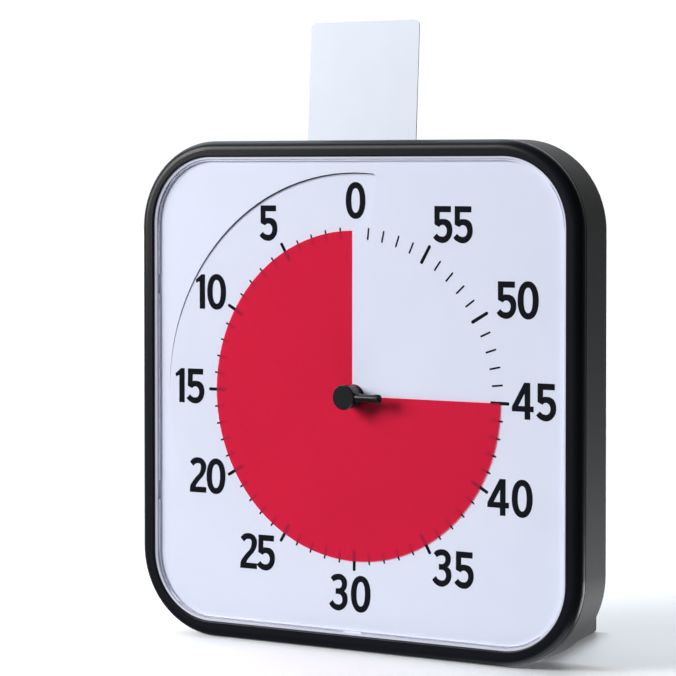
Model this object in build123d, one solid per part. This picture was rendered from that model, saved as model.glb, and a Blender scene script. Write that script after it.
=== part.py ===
from build123d import *

import math
import os

# Visual countdown timer: a square wall-clock case with a red disc that winds out of a slit in
# a spiral dial. X points right, Y points back, Z points up. The front faces -Y, and the origin
# is on the floor under the middle of the case. All sizes are in millimetres, angles in degrees.

# ---------------------------------------------------------------- driving dimensions

# Case
CASE_SIDE = 304.4  # outer width and height
CORNER_R = 53.0  # outer corner radius seen from the front
WALL = 2.5  # rear case wall
BACK_EDGE_R = 5.0  # rounding of the back edge
GROOVE_WIDTH = 0.7  # shadow groove behind the parting line
GROOVE_DEPTH = 1.0
FIT = 0.2  # clearance round a part that drops into its seat

# Bezel
BEZEL_WIDTH = 9.8  # visible width of the black ring
BEZEL_DEPTH = 6.8  # from its front face to the parting line
BEZEL_EDGE_R = 5.5  # rounding of its outer front edge
LIP_T = 1.5  # lip in front of the lens
LIP_EDGE_R = 0.9  # rounding of the lip's inner edge
OPENING_INSET_R = 12.0  # how much tighter the opening's corner is than the case's
SPIGOT_T = 1.6  # locating ring that enters the rear case
SPIGOT_LENGTH = 2.5

# Lens, dial frame and dial
LENS_LAND = 4.0  # how far the lens runs under the lip
LENS_T = 1.2
LENS_HOLE_R = 6.4
LENS_RIM = 0.7  # width of the raised rim round the hole
LENS_RIM_H = 0.35
TAB_LENGTH = 11.6
TAB_OFFSET = 64.0  # of the side tabs, above and below the axis
TAB_T = 1.5
FRAME_T = 1.5  # step from the lens down to the dial
FRAME_LEDGE = 2.4  # width of the frame seen inside the bezel
DIAL_T = 0.7
DIAL_HOLE_R = 7.2

# Spiral: the dial drops by PITCH at the 12 o'clock slit and climbs back over one turn
DISC_R = 98.5
DISC_T = 0.4
DISC_GAP = 0.3  # disc to the dial under it
SLIT_GAP = 0.6  # disc to the dial over it
DISC_ZONE_R = 100.0  # the dial follows the disc's spiral out to here
FLAP_INSET = 19.2  # ramp flap's outer edge to the case's side
FLAP_KERF = 0.7  # gap past the flap's edge at 12 o'clock
FLAP_KERF_END = 0.15  # what it has narrowed to where the flap begins
FLAP_SWEEP = 90.0  # the flap's edge fades out here, counted from 12 o'clock
SLIT_OVERLAP = 0.8  # how far the upper sheet reaches past the centre line
TONGUE_REACH = 15.3  # right end of the flap, past 12 o'clock
TONGUE_CORNER = 0.073  # corner radius, share of flap's width
TONGUE_SIDE = ((0.2, 0.8), (2.4, 0.36), (5.8, 0.04), (9.4, 0.0))  # in, share of flap's width
REST_SETTING = 270.0  # how much of the red shows at rest, in degrees
FULL_TURN = 360.0
DISC_TURN = 359.0  # the disc's own sweep

# Knob
KNOB_R = 7.5
KNOB_BASE_R = 6.8
KNOB_EDGE = 0.6
KNOB_LENGTH = 8.6
KNOB_GAP = 0.8  # cap to the lens
NECK_R = 5.6
KNOB_ROOF = 1.6  # in front of the arbor's end
LEVER_R = 2.35
LEVER_INSET = 2.9  # lever's axis behind the cap's front face
WEB_HALF = 3.8  # gusset each side of the lever, at the knob's axis
WEB_REACH = 3.2
WEB_T = 2.8
LEVER_LENGTH = 24.2  # from the axis to the tip
TIP_R = 2.55
TIP_LENGTH = 3.6

# Arbor and its friction clutch
ARBOR_R = 2.0
BEARING_GAP = 0.05
SHOULDER_R = 3.6
SHOULDER_T = 1.25
CLIP_R = 4.2
CLIP_T = 0.6
SPRING_R = 5.0
SPRING_T = 0.35
SPRING_RISE = 0.7
SLEEVE_FLATS = 9.0
COLLAR_R = 6.4
COLLAR_GAP = 0.1
CAM_R = 4.6
CAM_T = 1.6
CAM_NOTCH_DEPTH = 1.2
CAM_NOTCH_WIDTH = 3.0

# Going train
MODULE = 0.4
CENTRE_TEETH = 60
THIRD_TEETH = 50
PINION_TEETH = 10
WHEEL_T = 1.8
THIRD_BEARING = 135.0  # direction from the arbor to the third wheel, from +X towards +Z
ROTOR_BEARING = 20.0  # direction from the third wheel to the rotor
TRAIN_ARBOR_R = 0.6
MAGNET_R = 3.0
MAGNET_T = 2.6
COIL_R = 3.8
COIL_LENGTH = 13.0
COIL_DROP = 1.4  # the coil's middle below the rotor
STATOR_ARM = 2.2
STATOR_T = 1.2

# Movement plate and housing
PLATE_GAP = 0.8  # deepest disc to the plate
PLATE_T = 2.0
PLATE_SIDE = 134.0
PLATE_ARM = 22.0  # width of the plate's frame bars
PLATE_RIB_H = 3.0
PLATE_BOSS_OFFSET = 60.0
PLATE_SCREW_LENGTH = 9.0
HOUSING_WIDTH = 58.0  # its inside is as long as the cell and its contacts
HOUSING_WALL = 1.8
HOUSING_ABOVE = 28.0  # from the axis to the housing's top
HOUSING_BELOW = 30.0  # from the axis to the battery trough's roof
COVER_T = 1.5
COVER_SCREW_LENGTH = 8.0
TROUGH_LIP = 1.4  # the trough's walls stand this far behind the cell
POST_R = 2.6
EAR_OFFSET = 21.0
EAR_T = 2.5
EAR_REACH = 7.0
BOARD_T = 1.0
BOARD_FRONT = 9.2  # from the housing's outer front face to the board
BUZZER_R = 7.2
BUZZER_T = 2.6
BUZZER_GAP = 1.9  # to the contact leaf
BUZZER_PORT_R = 1.0
BOARD_HEIGHT = 16.5
CHIP = (7.0, 6.0, 1.4)
CHIP_X = 8.0
CRYSTAL_R = 1.0
CRYSTAL_LENGTH = 6.0
CRYSTAL_X = 16.0
LEAF_WIDTH = 1.8
LEAF_T = 0.3

# Battery: AA cell
CELL_R = 7.25
CELL_NUB_R = 2.7
CELL_NUB = 1.3
CELL_GAP = 0.4
CONTACT_T = 0.4
CONTACT_GAP = 0.2
SPRING_ROOM = 3.3  # from the trough's end to the cell's flat end
BACK_GAP = 5.0  # from the housing to the back wall

# Back of the case
BOSS_R = 2.6  # bezel's screw bosses
TUBE_R = 4.2  # rear case's screw tubes
TUBE_TIP_T = 2.5
COUNTERBORE_R = 3.3
SCREW_R = 1.45
SCREW_HEAD_R = 2.8
SCREW_HEAD_T = 1.8
SCREW_LENGTH = 8.0
SMALL_SCREW_R = 1.05
SMALL_HEAD_R = 1.9
SMALL_HEAD_T = 1.0
RIB_OFFSETS = (-95.0, -60.0, 60.0, 95.0)
RIB_T = 2.0
RIB_LENGTH = 14.0
KEYHOLE_R = 5.0
KEYHOLE_SLOT_R = 2.4
KEYHOLE_DROP = 43.0  # keyhole's entry below the top of the case
KEYHOLE_RISE = 10.0
DOOR_WIDTH = 64.0
DOOR_HEIGHT = 26.0
DOOR_T = 1.5
DOOR_GAP = 0.25
DOOR_LEDGE = 2.0
DOOR_PIN_R = 0.5
DOOR_PIN_LENGTH = 1.2
DOOR_GRIP = (18.0, 3.0, 1.2)  # length, width and corner radius of its finger recess
SWITCH_X = 6.0
SWITCH_RISE = 18.0  # above the axis
SWITCH_TRAVEL = 4.0
SWITCH_BUTTON = (6.0, 5.0)
SWITCH_PROUD = 1.0

# Dry-erase card and its pocket
CARD_WIDTH = 75.0
CARD_T = 0.8
CARD_SHOWN = 71.1
CARD_HIDDEN = 22.0
CARD_CORNER_R = 3.5
CARD_SETBACK = 13.5  # from the bezel's front face to the card
CARD_LEAN = 3.5
POCKET_WALL = 1.2
POCKET_GAP = 0.4
POCKET_FLANGE_T = 1.5
POCKET_FLANGE = 3.8  # reach of the flange in front of and behind the card

# Swing-out feet
FOOT_INSET = 42.2  # hinge axis to the case's side
FOOT_AXIS_IN = 3.5  # hinge axis in front of the back face
FOOT_MEET_GAP = 1.0  # each folded foot's tip to the middle plane
FOOT_OPEN = 80.0
FOOT_HEIGHT = 16.0
FOOT_TIP_HEIGHT = 12.0
FOOT_T = 5.0
FOOT_GAP = 0.9  # foot to the walls of its notch
FOOT_LIFT = 0.6  # the blade clears the floor by this, the pad doesn't
BARREL_R = 3.3
BARREL_BOTTOM = 5.2
HINGE_PIN_R = 1.5
PIN_GRIP = 2.0  # length of pin held in each lug
PAD_LENGTH = 16.0
PAD_T = 1.0

# ---------------------------------------------------------------- derived sizes and stations

PITCH = DIAL_T + DISC_T + DISC_GAP + SLIT_GAP
FLAP_R = CASE_SIDE / 2 - FLAP_INSET
FOOT_AXIS_X = CASE_SIDE / 2 - FOOT_INSET
FOOT_LENGTH = FOOT_AXIS_X - FOOT_MEET_GAP
CELL_D = 2 * CELL_R
CELL_ROOM = HOUSING_WIDTH - 2 * HOUSING_WALL
CELL_LENGTH = CELL_ROOM - CONTACT_T - CONTACT_GAP - CELL_NUB - SPRING_ROOM
HOUSING_DEPTH = HOUSING_WALL + CELL_D + 2 * CELL_GAP + TROUGH_LIP
CASE_DEPTH = (
    LIP_T + LENS_T + FRAME_T + 2 * PITCH + PLATE_GAP + PLATE_T + HOUSING_DEPTH + BACK_GAP + WALL
)

AXIS_Z = CASE_SIDE / 2
FRONT = -CASE_DEPTH / 2
BACK = CASE_DEPTH / 2
PARTING = FRONT + BEZEL_DEPTH
LENS_FRONT = FRONT + LIP_T
LENS_BACK = LENS_FRONT + LENS_T
DIAL_FRONT = LENS_BACK + FRAME_T
DIAL_BACK = DIAL_FRONT + DIAL_T
PLATE_FRONT = DIAL_FRONT + 2 * PITCH + PLATE_GAP
HOUSING_FRONT = PLATE_FRONT + PLATE_T
HOUSING_BACK = HOUSING_FRONT + HOUSING_DEPTH
WALL_FRONT = BACK - WALL  # inner face of the back wall

OPENING = CASE_SIDE - 2 * BEZEL_WIDTH
OPENING_R = CORNER_R - OPENING_INSET_R
LENS_SIDE = OPENING + 2 * LENS_LAND
LENS_R = OPENING_R + LENS_LAND
BOSS_AT = (
    CASE_SIDE / 2 - CORNER_R + (CORNER_R - WALL - BOSS_R - 2 * FIT) / math.sqrt(2)
)  # screw bosses sit in the case's four corners

CORNERS = ((-1, -1), (1, -1), (1, 1), (-1, 1))

# ---------------------------------------------------------------- helpers


def facing_front(y, z=AXIS_Z):
    """Plane at depth y, seen from the front: its local x is X and its local y is Z."""
    return Plane(origin=(0, y, z), x_dir=(1, 0, 0), z_dir=(0, -1, 0))


def slab(profile, y_front, y_back, z=AXIS_Z):
    """Extrude a profile, drawn about the dial's axis, between two depths."""
    return extrude(facing_front(y_back, z) * profile, y_back - y_front)


def square(side, radius):
    """Square with rounded corners."""
    return RectangleRounded(side, side, radius)


def rod(radius, y_front, y_back, x=0.0, z=0.0):
    """Cylinder along Y. x and z are measured from the dial's axis."""
    return slab(Pos(x, z) * Circle(radius), y_front, y_back)


def block(x, y, z):
    """Box between three pairs of limits, in the part's frame."""
    middle = [(low + high) / 2 for low, high in (x, y, z)]
    return Pos(*middle) * Box(x[1] - x[0], y[1] - y[0], z[1] - z[0])


def group(pieces):
    """Separate solids of one node."""
    return Compound(children=[solid for piece in pieces for solid in piece.solids()])


def mirrored(piece):
    """The same piece on the other side of the middle plane."""
    return mirror(piece, about=Plane.YZ)


def on_dial(radius, turn, depth):
    """Point on the dial: turn runs anticlockwise from 12 o'clock, depth back from its face."""
    angle = math.radians(turn)
    return Vector(
        -radius * math.sin(angle), DIAL_FRONT + depth, AXIS_Z + radius * math.cos(angle)
    )


def spiral_edge(radius, start, end, depth_start, depth_end, draw_in=0.0):
    """Curve about the dial's axis whose depth changes evenly with the turn.

    It keeps to one radius, or starts draw_in inside it and comes out to it at its end.
    """
    steps = max(3, round(abs(end - start) / 15))
    points = []
    for step in range(steps + 1):
        share = step / steps
        turn = start + (end - start) * share
        depth = depth_start + (depth_end - depth_start) * share
        points.append(on_dial(radius - draw_in * (1 - share), turn, depth))
    return Edge.make_spline(points)


def spiral_sheet(inner, outer, thickness):
    """Sheet ruled between two curves, with its thickness towards the back."""
    return extrude(Face.make_surface_from_curves(inner, outer), thickness, dir=(0, 1, 0))


def dial_depth(turn):
    """Depth of the dial's spiral below its flat face."""
    return PITCH * (1 - turn / FULL_TURN)


# ---------------------------------------------------------------- front


def tab_places():
    """Middle of each lens tab's inner edge, as (x, z, turn of its outward direction)."""
    reach = OPENING / 2 - FRAME_LEDGE
    places = [(0, reach, 90), (0, -reach, -90)]
    for side in (-1, 1):
        for level in (-TAB_OFFSET, TAB_OFFSET):
            places.append((side * reach, level, 0 if side > 0 else 180))
    return places


def corner_notches():
    """Clearance for the bezel's screw bosses, to cut from what lies between them."""
    notch = Circle(BOSS_R + 2 * FIT)
    return Sketch() + [Pos(sx * BOSS_AT, sz * BOSS_AT) * notch for sx, sz in CORNERS]


def make_front_bezel():
    ring = slab(square(CASE_SIDE, CORNER_R), FRONT, PARTING)
    ring = fillet(ring.faces().sort_by(Axis.Y)[0].edges(), BEZEL_EDGE_R)
    ring -= slab(square(OPENING, OPENING_R), FRONT - 1, PARTING + 1)
    ring -= slab(square(LENS_SIDE + 2 * FIT, LENS_R + FIT), LENS_FRONT, PARTING + 1)
    lip = ring.faces().sort_by(Axis.Y)[0].inner_wires()[0]
    ring = fillet(lip.edges(), LIP_EDGE_R)
    outer = CASE_SIDE - 2 * (WALL + FIT)
    spigot = square(outer, CORNER_R - WALL - FIT)
    spigot -= square(outer - 2 * SPIGOT_T, CORNER_R - WALL - FIT - SPIGOT_T)
    ring += slab(spigot, PARTING - 1, PARTING + SPIGOT_LENGTH)
    boss_back = PARTING + SPIGOT_LENGTH + 2 * FIT
    for sx, sz in CORNERS:
        ring += rod(BOSS_R, LENS_FRONT, boss_back, sx * BOSS_AT, sz * BOSS_AT)
    for sx, sz in CORNERS:
        ring -= rod(
            SCREW_R + BEARING_GAP, LENS_FRONT + 1, boss_back + 1, sx * BOSS_AT, sz * BOSS_AT
        )
    return ring


def make_lens_cover():
    sheet = slab(square(LENS_SIDE, LENS_R) - corner_notches(), LENS_FRONT, LENS_BACK)
    sheet += rod(LENS_HOLE_R + LENS_RIM, LENS_FRONT - LENS_RIM_H, LENS_BACK)
    sheet -= rod(LENS_HOLE_R, FRONT, LENS_BACK + 1)
    for x, z, turn in tab_places():
        tab = Pos(x, z) * Rot(0, 0, turn) * Pos((TAB_T + FIT) / 2 + FIT, 0)
        sheet += slab(tab * Rectangle(TAB_T, TAB_LENGTH), LENS_BACK, DIAL_FRONT - BEARING_GAP)
    return sheet


def make_dial_frame():
    inner = OPENING - 2 * FRAME_LEDGE
    ring = square(LENS_SIDE, LENS_R) - square(inner, OPENING_R - FRAME_LEDGE)
    for x, z, turn in tab_places():
        notch = Rectangle(2 * (TAB_T + 2 * FIT), TAB_LENGTH + 2 * FIT)
        ring -= Pos(x, z) * Rot(0, 0, turn) * notch
    return slab(ring - corner_notches(), LENS_BACK, DIAL_FRONT)


def flap_end_outline(kerf):
    """The flap's end right of 12 o'clock: a tongue, with its top set back by the kerf."""
    low, width = DISC_ZONE_R, FLAP_R - DISC_ZONE_R
    high = FLAP_R + FLAP_KERF
    side = [(TONGUE_REACH - inset, low + share * width) for inset, share in TONGUE_SIDE]
    edge = FilletPolyline(
        (-SLIT_OVERLAP, low),
        (-SLIT_OVERLAP, high),
        (TONGUE_REACH - kerf, high),
        *side,
        radius=FLAP_KERF,
        close=True,
    )
    outline = make_face(edge) & Circle(FLAP_R - kerf)
    outline = fillet(outline.vertices().sort_by(Axis.Y)[-2], TONGUE_CORNER * width)
    return outline - Circle(DISC_ZONE_R)


def make_dial_plate():
    zone_start = spiral_edge(DISC_ZONE_R, 0, FLAP_SWEEP, dial_depth(0), dial_depth(FLAP_SWEEP))
    zone_rest = spiral_edge(DISC_ZONE_R, FLAP_SWEEP, FULL_TURN, dial_depth(FLAP_SWEEP), 0)
    hole_start = spiral_edge(DIAL_HOLE_R, 0, FLAP_SWEEP, dial_depth(0), dial_depth(FLAP_SWEEP))
    hole_rest = spiral_edge(DIAL_HOLE_R, FLAP_SWEEP, FULL_TURN, dial_depth(FLAP_SWEEP), 0)
    end_r = FLAP_R - FLAP_KERF_END
    flap_edge = spiral_edge(end_r, 0, FLAP_SWEEP, PITCH, 0, FLAP_KERF - FLAP_KERF_END)
    turns = (FLAP_SWEEP, (FLAP_SWEEP + FULL_TURN) / 2, FULL_TURN)
    flat_edge = Edge.make_three_point_arc(*[on_dial(FLAP_R, turn, 0) for turn in turns])
    sheet = square(LENS_SIDE, LENS_R) - Circle(FLAP_R) - corner_notches()
    plate = slab(sheet, DIAL_FRONT, DIAL_BACK)
    plate += spiral_sheet(hole_rest, zone_rest, DIAL_T)
    plate += spiral_sheet(zone_rest, flat_edge, DIAL_T)
    slit_edge = block(
        (-SLIT_OVERLAP, 0),
        (DIAL_FRONT, DIAL_BACK),
        (AXIS_Z + DIAL_HOLE_R, AXIS_Z + DISC_ZONE_R),
    )
    plate += slit_edge
    plate -= slab(flap_end_outline(0), DIAL_FRONT - 1, DIAL_BACK + 1)
    flap = spiral_sheet(zone_start, flap_edge, DIAL_T)
    flap += slab(flap_end_outline(FLAP_KERF), DIAL_FRONT + PITCH, DIAL_BACK + PITCH)
    flap += spiral_sheet(hole_start, zone_start, DIAL_T)
    return plate + flap


# ---------------------------------------------------------------- disc, hub and knob


def disc_back_depth(turn):
    """Depth of the red disc's back face at a turn, at any setting."""
    return dial_depth(turn) - DISC_GAP


def make_red_disc():
    """One turn of spiral sheet. At rest it shows REST_SETTING and hides the remainder."""
    start, end = REST_SETTING - DISC_TURN, REST_SETTING
    depths = [disc_back_depth(turn) - DISC_T for turn in (start, end)]
    inner = spiral_edge(COLLAR_R, start, end, *depths)
    outer = spiral_edge(DISC_R, start, end, *depths)
    return spiral_sheet(inner, outer, DISC_T)


def make_disc_collar():
    front = DIAL_FRONT + disc_back_depth(REST_SETTING) - DISC_T - 0.1
    back = DIAL_FRONT + disc_back_depth(REST_SETTING - FULL_TURN) + 0.1
    bore = RegularPolygon(SLEEVE_FLATS / 2 + COLLAR_GAP, 6, major_radius=False)
    return slab(Circle(COLLAR_R) - bore, front, back)


def sleeve_span():
    """Front and back of the sleeve, which the collar never leaves."""
    return LENS_BACK + 0.3, PLATE_FRONT - 0.5


def make_hub_sleeve():
    outline = RegularPolygon(SLEEVE_FLATS / 2, 6, major_radius=False)
    return slab(outline - Circle(ARBOR_R), *sleeve_span())


def knob_span():
    """Front and back of the knob's cap."""
    back = LENS_FRONT - KNOB_GAP
    return back - KNOB_LENGTH, back


def lever_depth():
    return knob_span()[0] + LEVER_INSET


def along_lever(profile, start, length):
    """Extrude a profile along +X from a distance off the axis, at the lever's level."""
    plane = Plane(origin=(start, lever_depth(), AXIS_Z), x_dir=(0, 0, 1), z_dir=(1, 0, 0))
    return extrude(plane * profile, length)


def make_setting_knob():
    front, back = knob_span()
    rim = facing_front(back) * Circle(KNOB_BASE_R)
    cap = loft([rim, facing_front(front) * Circle(KNOB_R)])
    cap = chamfer(cap.faces().sort_by(Axis.Y)[0].edges(), KNOB_EDGE)
    cap += rod(NECK_R, back, sleeve_span()[0])
    cap += along_lever(Circle(LEVER_R), 0, LEVER_LENGTH - TIP_LENGTH)
    web_end = KNOB_R + WEB_REACH
    web = Polyline(
        (0, WEB_HALF), (web_end, LEVER_R), (web_end, -LEVER_R), (0, -WEB_HALF), close=True
    )
    cap += slab(make_face(web), lever_depth() - WEB_T / 2, lever_depth() + WEB_T / 2)
    cap -= rod(ARBOR_R, front + KNOB_ROOF, LENS_BACK + 1)
    return cap


def make_lever_tip():
    tip = along_lever(Circle(TIP_R), LEVER_LENGTH - TIP_LENGTH, TIP_LENGTH)
    return fillet(tip.faces().sort_by(Axis.X)[-1].edges(), TIP_R * 0.6)


# ---------------------------------------------------------------- movement stations along Y

WHEEL_FRONT = HOUSING_FRONT + 4.5
WHEEL_BACK = WHEEL_FRONT + WHEEL_T
SHOULDER_FRONT = WHEEL_BACK + 0.15
THIRD_FRONT = WHEEL_BACK + 2.0
THIRD_BACK = THIRD_FRONT + WHEEL_T
MAGNET_FRONT = THIRD_BACK + 1.5
COVER_FRONT = HOUSING_BACK - COVER_T
BEARING_FRONT = COVER_FRONT - 2.6
ARBOR_BACK = COVER_FRONT - 0.2
CAM_FRONT = BEARING_FRONT - CAM_T - 0.4
BOARD_FACE = HOUSING_FRONT + BOARD_FRONT

THIRD_AXIS = (CENTRE_TEETH + PINION_TEETH) * MODULE / 2
ROTOR_AXIS = (THIRD_TEETH + PINION_TEETH) * MODULE / 2
THIRD_AT = (
    THIRD_AXIS * math.cos(math.radians(THIRD_BEARING)),
    THIRD_AXIS * math.sin(math.radians(THIRD_BEARING)),
)
ROTOR_AT = (
    THIRD_AT[0] + ROTOR_AXIS * math.cos(math.radians(ROTOR_BEARING)),
    THIRD_AT[1] + ROTOR_AXIS * math.sin(math.radians(ROTOR_BEARING)),
)


def make_arbor():
    front = knob_span()[0] + KNOB_ROOF
    shaft = rod(ARBOR_R, front, ARBOR_BACK)
    shaft += rod(SHOULDER_R, SHOULDER_FRONT, SHOULDER_FRONT + SHOULDER_T)
    return shaft


def make_arbor_clip():
    """Open ring in front of the clutch spring."""
    back = WHEEL_FRONT - SPRING_RISE - SPRING_T - 0.1
    ring = Circle(CLIP_R) - Circle(ARBOR_R)
    ring -= Pos(CLIP_R, 0) * Rectangle(2 * CLIP_R, ARBOR_R * 1.4)
    return slab(ring, back - CLIP_T, back)


def make_clutch_spring():
    """Dished washer that presses the centre wheel against the arbor's shoulder."""
    back = WHEEL_FRONT - 0.05
    rise = SPRING_RISE
    section = Polyline(
        (ARBOR_R + BEARING_GAP, -rise - SPRING_T),
        (SPRING_R, -SPRING_T),
        (SPRING_R, 0),
        (ARBOR_R + BEARING_GAP, -rise),
        close=True,
    )
    plane = Plane(origin=(0, back, AXIS_Z), x_dir=(1, 0, 0), z_dir=(0, 0, 1))
    return revolve(plane * make_face(section), Axis((0, 0, AXIS_Z), (0, 1, 0)))


def gear_profile(teeth, first_tooth):
    """Straight-sided clock teeth, the first at an angle from +X towards +Z."""
    pitch_r = MODULE * teeth / 2
    tip_r, root_r = pitch_r + 0.85 * MODULE, pitch_r - 1.15 * MODULE
    tip_half = math.degrees(0.12 * math.pi * MODULE / tip_r)
    root_half = math.degrees(0.27 * math.pi * MODULE / root_r)
    points = []
    for tooth in range(teeth):
        middle = first_tooth + FULL_TURN * tooth / teeth
        corners = (
            (root_r, -root_half), (tip_r, -tip_half), (tip_r, tip_half), (root_r, root_half)
        )
        for radius, offset in corners:
            angle = math.radians(middle + offset)
            points.append((radius * math.cos(angle), radius * math.sin(angle)))
    return make_face(Polyline(points, close=True))


def spoke_windows(rim_r, hub_r, count):
    """Round windows that lighten a wheel."""
    radius = (rim_r - hub_r) / 2 - 0.9
    places = PolarLocations((rim_r + hub_r) / 2, count)
    return Sketch() + [place * Circle(radius) for place in places]


def make_centre_wheel():
    profile = gear_profile(CENTRE_TEETH, THIRD_BEARING) - Circle(ARBOR_R + BEARING_GAP)
    rim_r = MODULE * CENTRE_TEETH / 2 - 2
    profile -= spoke_windows(rim_r, SPRING_R + 0.4, 5)
    return slab(profile, WHEEL_FRONT, WHEEL_BACK)


def make_third_wheel():
    half_pitch = 180 / PINION_TEETH
    x, z = THIRD_AT
    wheel = gear_profile(THIRD_TEETH, ROTOR_BEARING)
    wheel -= spoke_windows(MODULE * THIRD_TEETH / 2 - 2, 2.4, 5)
    pinion = gear_profile(PINION_TEETH, THIRD_BEARING + 180 + half_pitch)
    third = slab(Pos(x, z) * wheel, THIRD_FRONT, THIRD_BACK)
    third += slab(Pos(x, z) * pinion, WHEEL_FRONT - 0.4, THIRD_FRONT)
    third += rod(TRAIN_ARBOR_R, HOUSING_FRONT + HOUSING_WALL - 0.8, COVER_FRONT + 0.6, x, z)
    return third


def make_rotor():
    half_pitch = 180 / PINION_TEETH
    x, z = ROTOR_AT
    pinion = gear_profile(PINION_TEETH, ROTOR_BEARING + 180 + half_pitch)
    rotor = slab(Pos(x, z) * pinion, THIRD_FRONT - 0.4, MAGNET_FRONT)
    rotor += rod(TRAIN_ARBOR_R, HOUSING_FRONT + HOUSING_WALL - 0.8, COVER_FRONT + 0.6, x, z)
    return rotor


def make_rotor_magnet():
    x, z = ROTOR_AT
    magnet = Circle(MAGNET_R) - Circle(TRAIN_ARBOR_R)
    return slab(Pos(x, z) * magnet, MAGNET_FRONT, MAGNET_FRONT + MAGNET_T)


def coil_axis_x():
    return HOUSING_WIDTH / 2 - HOUSING_WALL - COIL_R - 1.2


def coil_level():
    return MAGNET_FRONT + MAGNET_T / 2


def make_stator():
    """Soft-iron plate round the magnet, with two arms that reach into the coil's ends."""
    x, z = ROTOR_AT
    arm_end = coil_axis_x() + COIL_R / 2
    plate = Pos(x, z) * Circle(MAGNET_R + 2.2)
    for side in (-1, 1):
        level = z - COIL_DROP + side * (COIL_LENGTH / 2 + 0.1)
        plate += Pos((x + arm_end) / 2, level) * Rectangle(arm_end - x, STATOR_ARM)
        plate += Pos(x, (z + level) / 2) * Rectangle(2 * STATOR_ARM, abs(level - z) + STATOR_ARM)
    plate -= Pos(x, z) * Circle(MAGNET_R + 0.4)
    front = coil_level() - STATOR_T / 2
    return slab(plate, front, front + STATOR_T)


def make_coil():
    """Bobbin with its winding, along Z between the stator's arms."""
    z = AXIS_Z + ROTOR_AT[1] - COIL_DROP
    half = (COIL_LENGTH - STATOR_ARM) / 2 + BEARING_GAP
    bottom = Plane(origin=(coil_axis_x(), coil_level(), z - half))
    coil = extrude(bottom * Circle(COIL_R - 0.7), 2 * half)
    for start in (0, 2 * half - 1.2):
        flange = Plane(origin=(coil_axis_x(), coil_level(), z - half + start))
        coil += extrude(flange * Circle(COIL_R), 1.2)
    return coil


def make_alarm_cam():
    """Cam on the arbor: its notch comes round to the contact leaf as the set time ends."""
    outline = Circle(CAM_R) - Circle(ARBOR_R)
    notch = Rectangle(CAM_NOTCH_WIDTH, 2 * CAM_NOTCH_DEPTH)
    outline -= Rot(0, 0, REST_SETTING) * Pos(0, -CAM_R) * notch
    return slab(outline, CAM_FRONT, CAM_FRONT + CAM_T)


# ---------------------------------------------------------------- movement case and electrics


def trough_limits():
    """Bottom and top of the battery trough's inside, from the axis."""
    top = -HOUSING_BELOW - HOUSING_WALL
    return top - CELL_D - 2 * CELL_GAP, top


def cell_level():
    low, high = trough_limits()
    return (low + high) / 2


def housing_bottom():
    return trough_limits()[0] - HOUSING_WALL


def ear_places():
    x = HOUSING_WIDTH / 2 + EAR_REACH / 2
    return [(sx * x, sz * EAR_OFFSET) for sx, sz in CORNERS]


def post_places():
    inset = HOUSING_WALL + POST_R - 0.6
    x = HOUSING_WIDTH / 2 - inset
    return [(sx * x, z) for sx in (-1, 1) for z in (HOUSING_ABOVE - inset, inset - HOUSING_BELOW)]


def make_movement_plate():
    plate = square(PLATE_SIDE, 8.0)
    middle = square(PLATE_SIDE - 2 * PLATE_ARM, 5.0)
    cross = Rectangle(PLATE_SIDE, HOUSING_WIDTH + 2 * EAR_REACH + 6)
    cross = cross & square(PLATE_SIDE - 2, 7.0)
    outline = plate - (middle - cross)
    outline -= Circle(ARBOR_R + 1.0)
    plate = slab(outline, PLATE_FRONT, HOUSING_FRONT)
    rim = square(PLATE_SIDE, 8.0) - square(PLATE_SIDE - 2 * HOUSING_WALL, 8.0 - HOUSING_WALL)
    plate += slab(rim, HOUSING_FRONT, HOUSING_FRONT + PLATE_RIB_H)
    for sx, sz in CORNERS:
        x, z = sx * PLATE_BOSS_OFFSET, sz * PLATE_BOSS_OFFSET
        plate -= rod(SMALL_SCREW_R + FIT, PLATE_FRONT - 1, HOUSING_FRONT + 1, x, z)
        plate -= rod(SMALL_HEAD_R + FIT, PLATE_FRONT - 1, PLATE_FRONT + SMALL_HEAD_T, x, z)
    for x, z in ear_places():
        plate -= rod(SMALL_SCREW_R + BEARING_GAP, PLATE_FRONT - 1, HOUSING_FRONT + 1, x, z)
    return plate


def screw(x, z, head_front, length, tip_back):
    """Small screw along Y. tip_back says which way it points."""
    if tip_back:
        head = rod(SMALL_HEAD_R, head_front, head_front + SMALL_HEAD_T, x, z)
        return head + rod(SMALL_SCREW_R, head_front, head_front + length, x, z)
    head = rod(SMALL_HEAD_R, head_front, head_front + SMALL_HEAD_T, x, z)
    return head + rod(SMALL_SCREW_R, head_front + SMALL_HEAD_T - length, head_front, x, z)


def make_plate_screws():
    places = [(sx * PLATE_BOSS_OFFSET, sz * PLATE_BOSS_OFFSET) for sx, sz in CORNERS]
    return group([screw(x, z, PLATE_FRONT, PLATE_SCREW_LENGTH, True) for x, z in places])


def make_movement_screws():
    head = HOUSING_FRONT + EAR_T
    length = SMALL_HEAD_T + EAR_T + PLATE_T
    return group([screw(x, z, head, length, False) for x, z in ear_places()])


def make_cover_screws():
    places = post_places()
    return group([screw(x, z, HOUSING_BACK, COVER_SCREW_LENGTH, False) for x, z in places])


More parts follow.
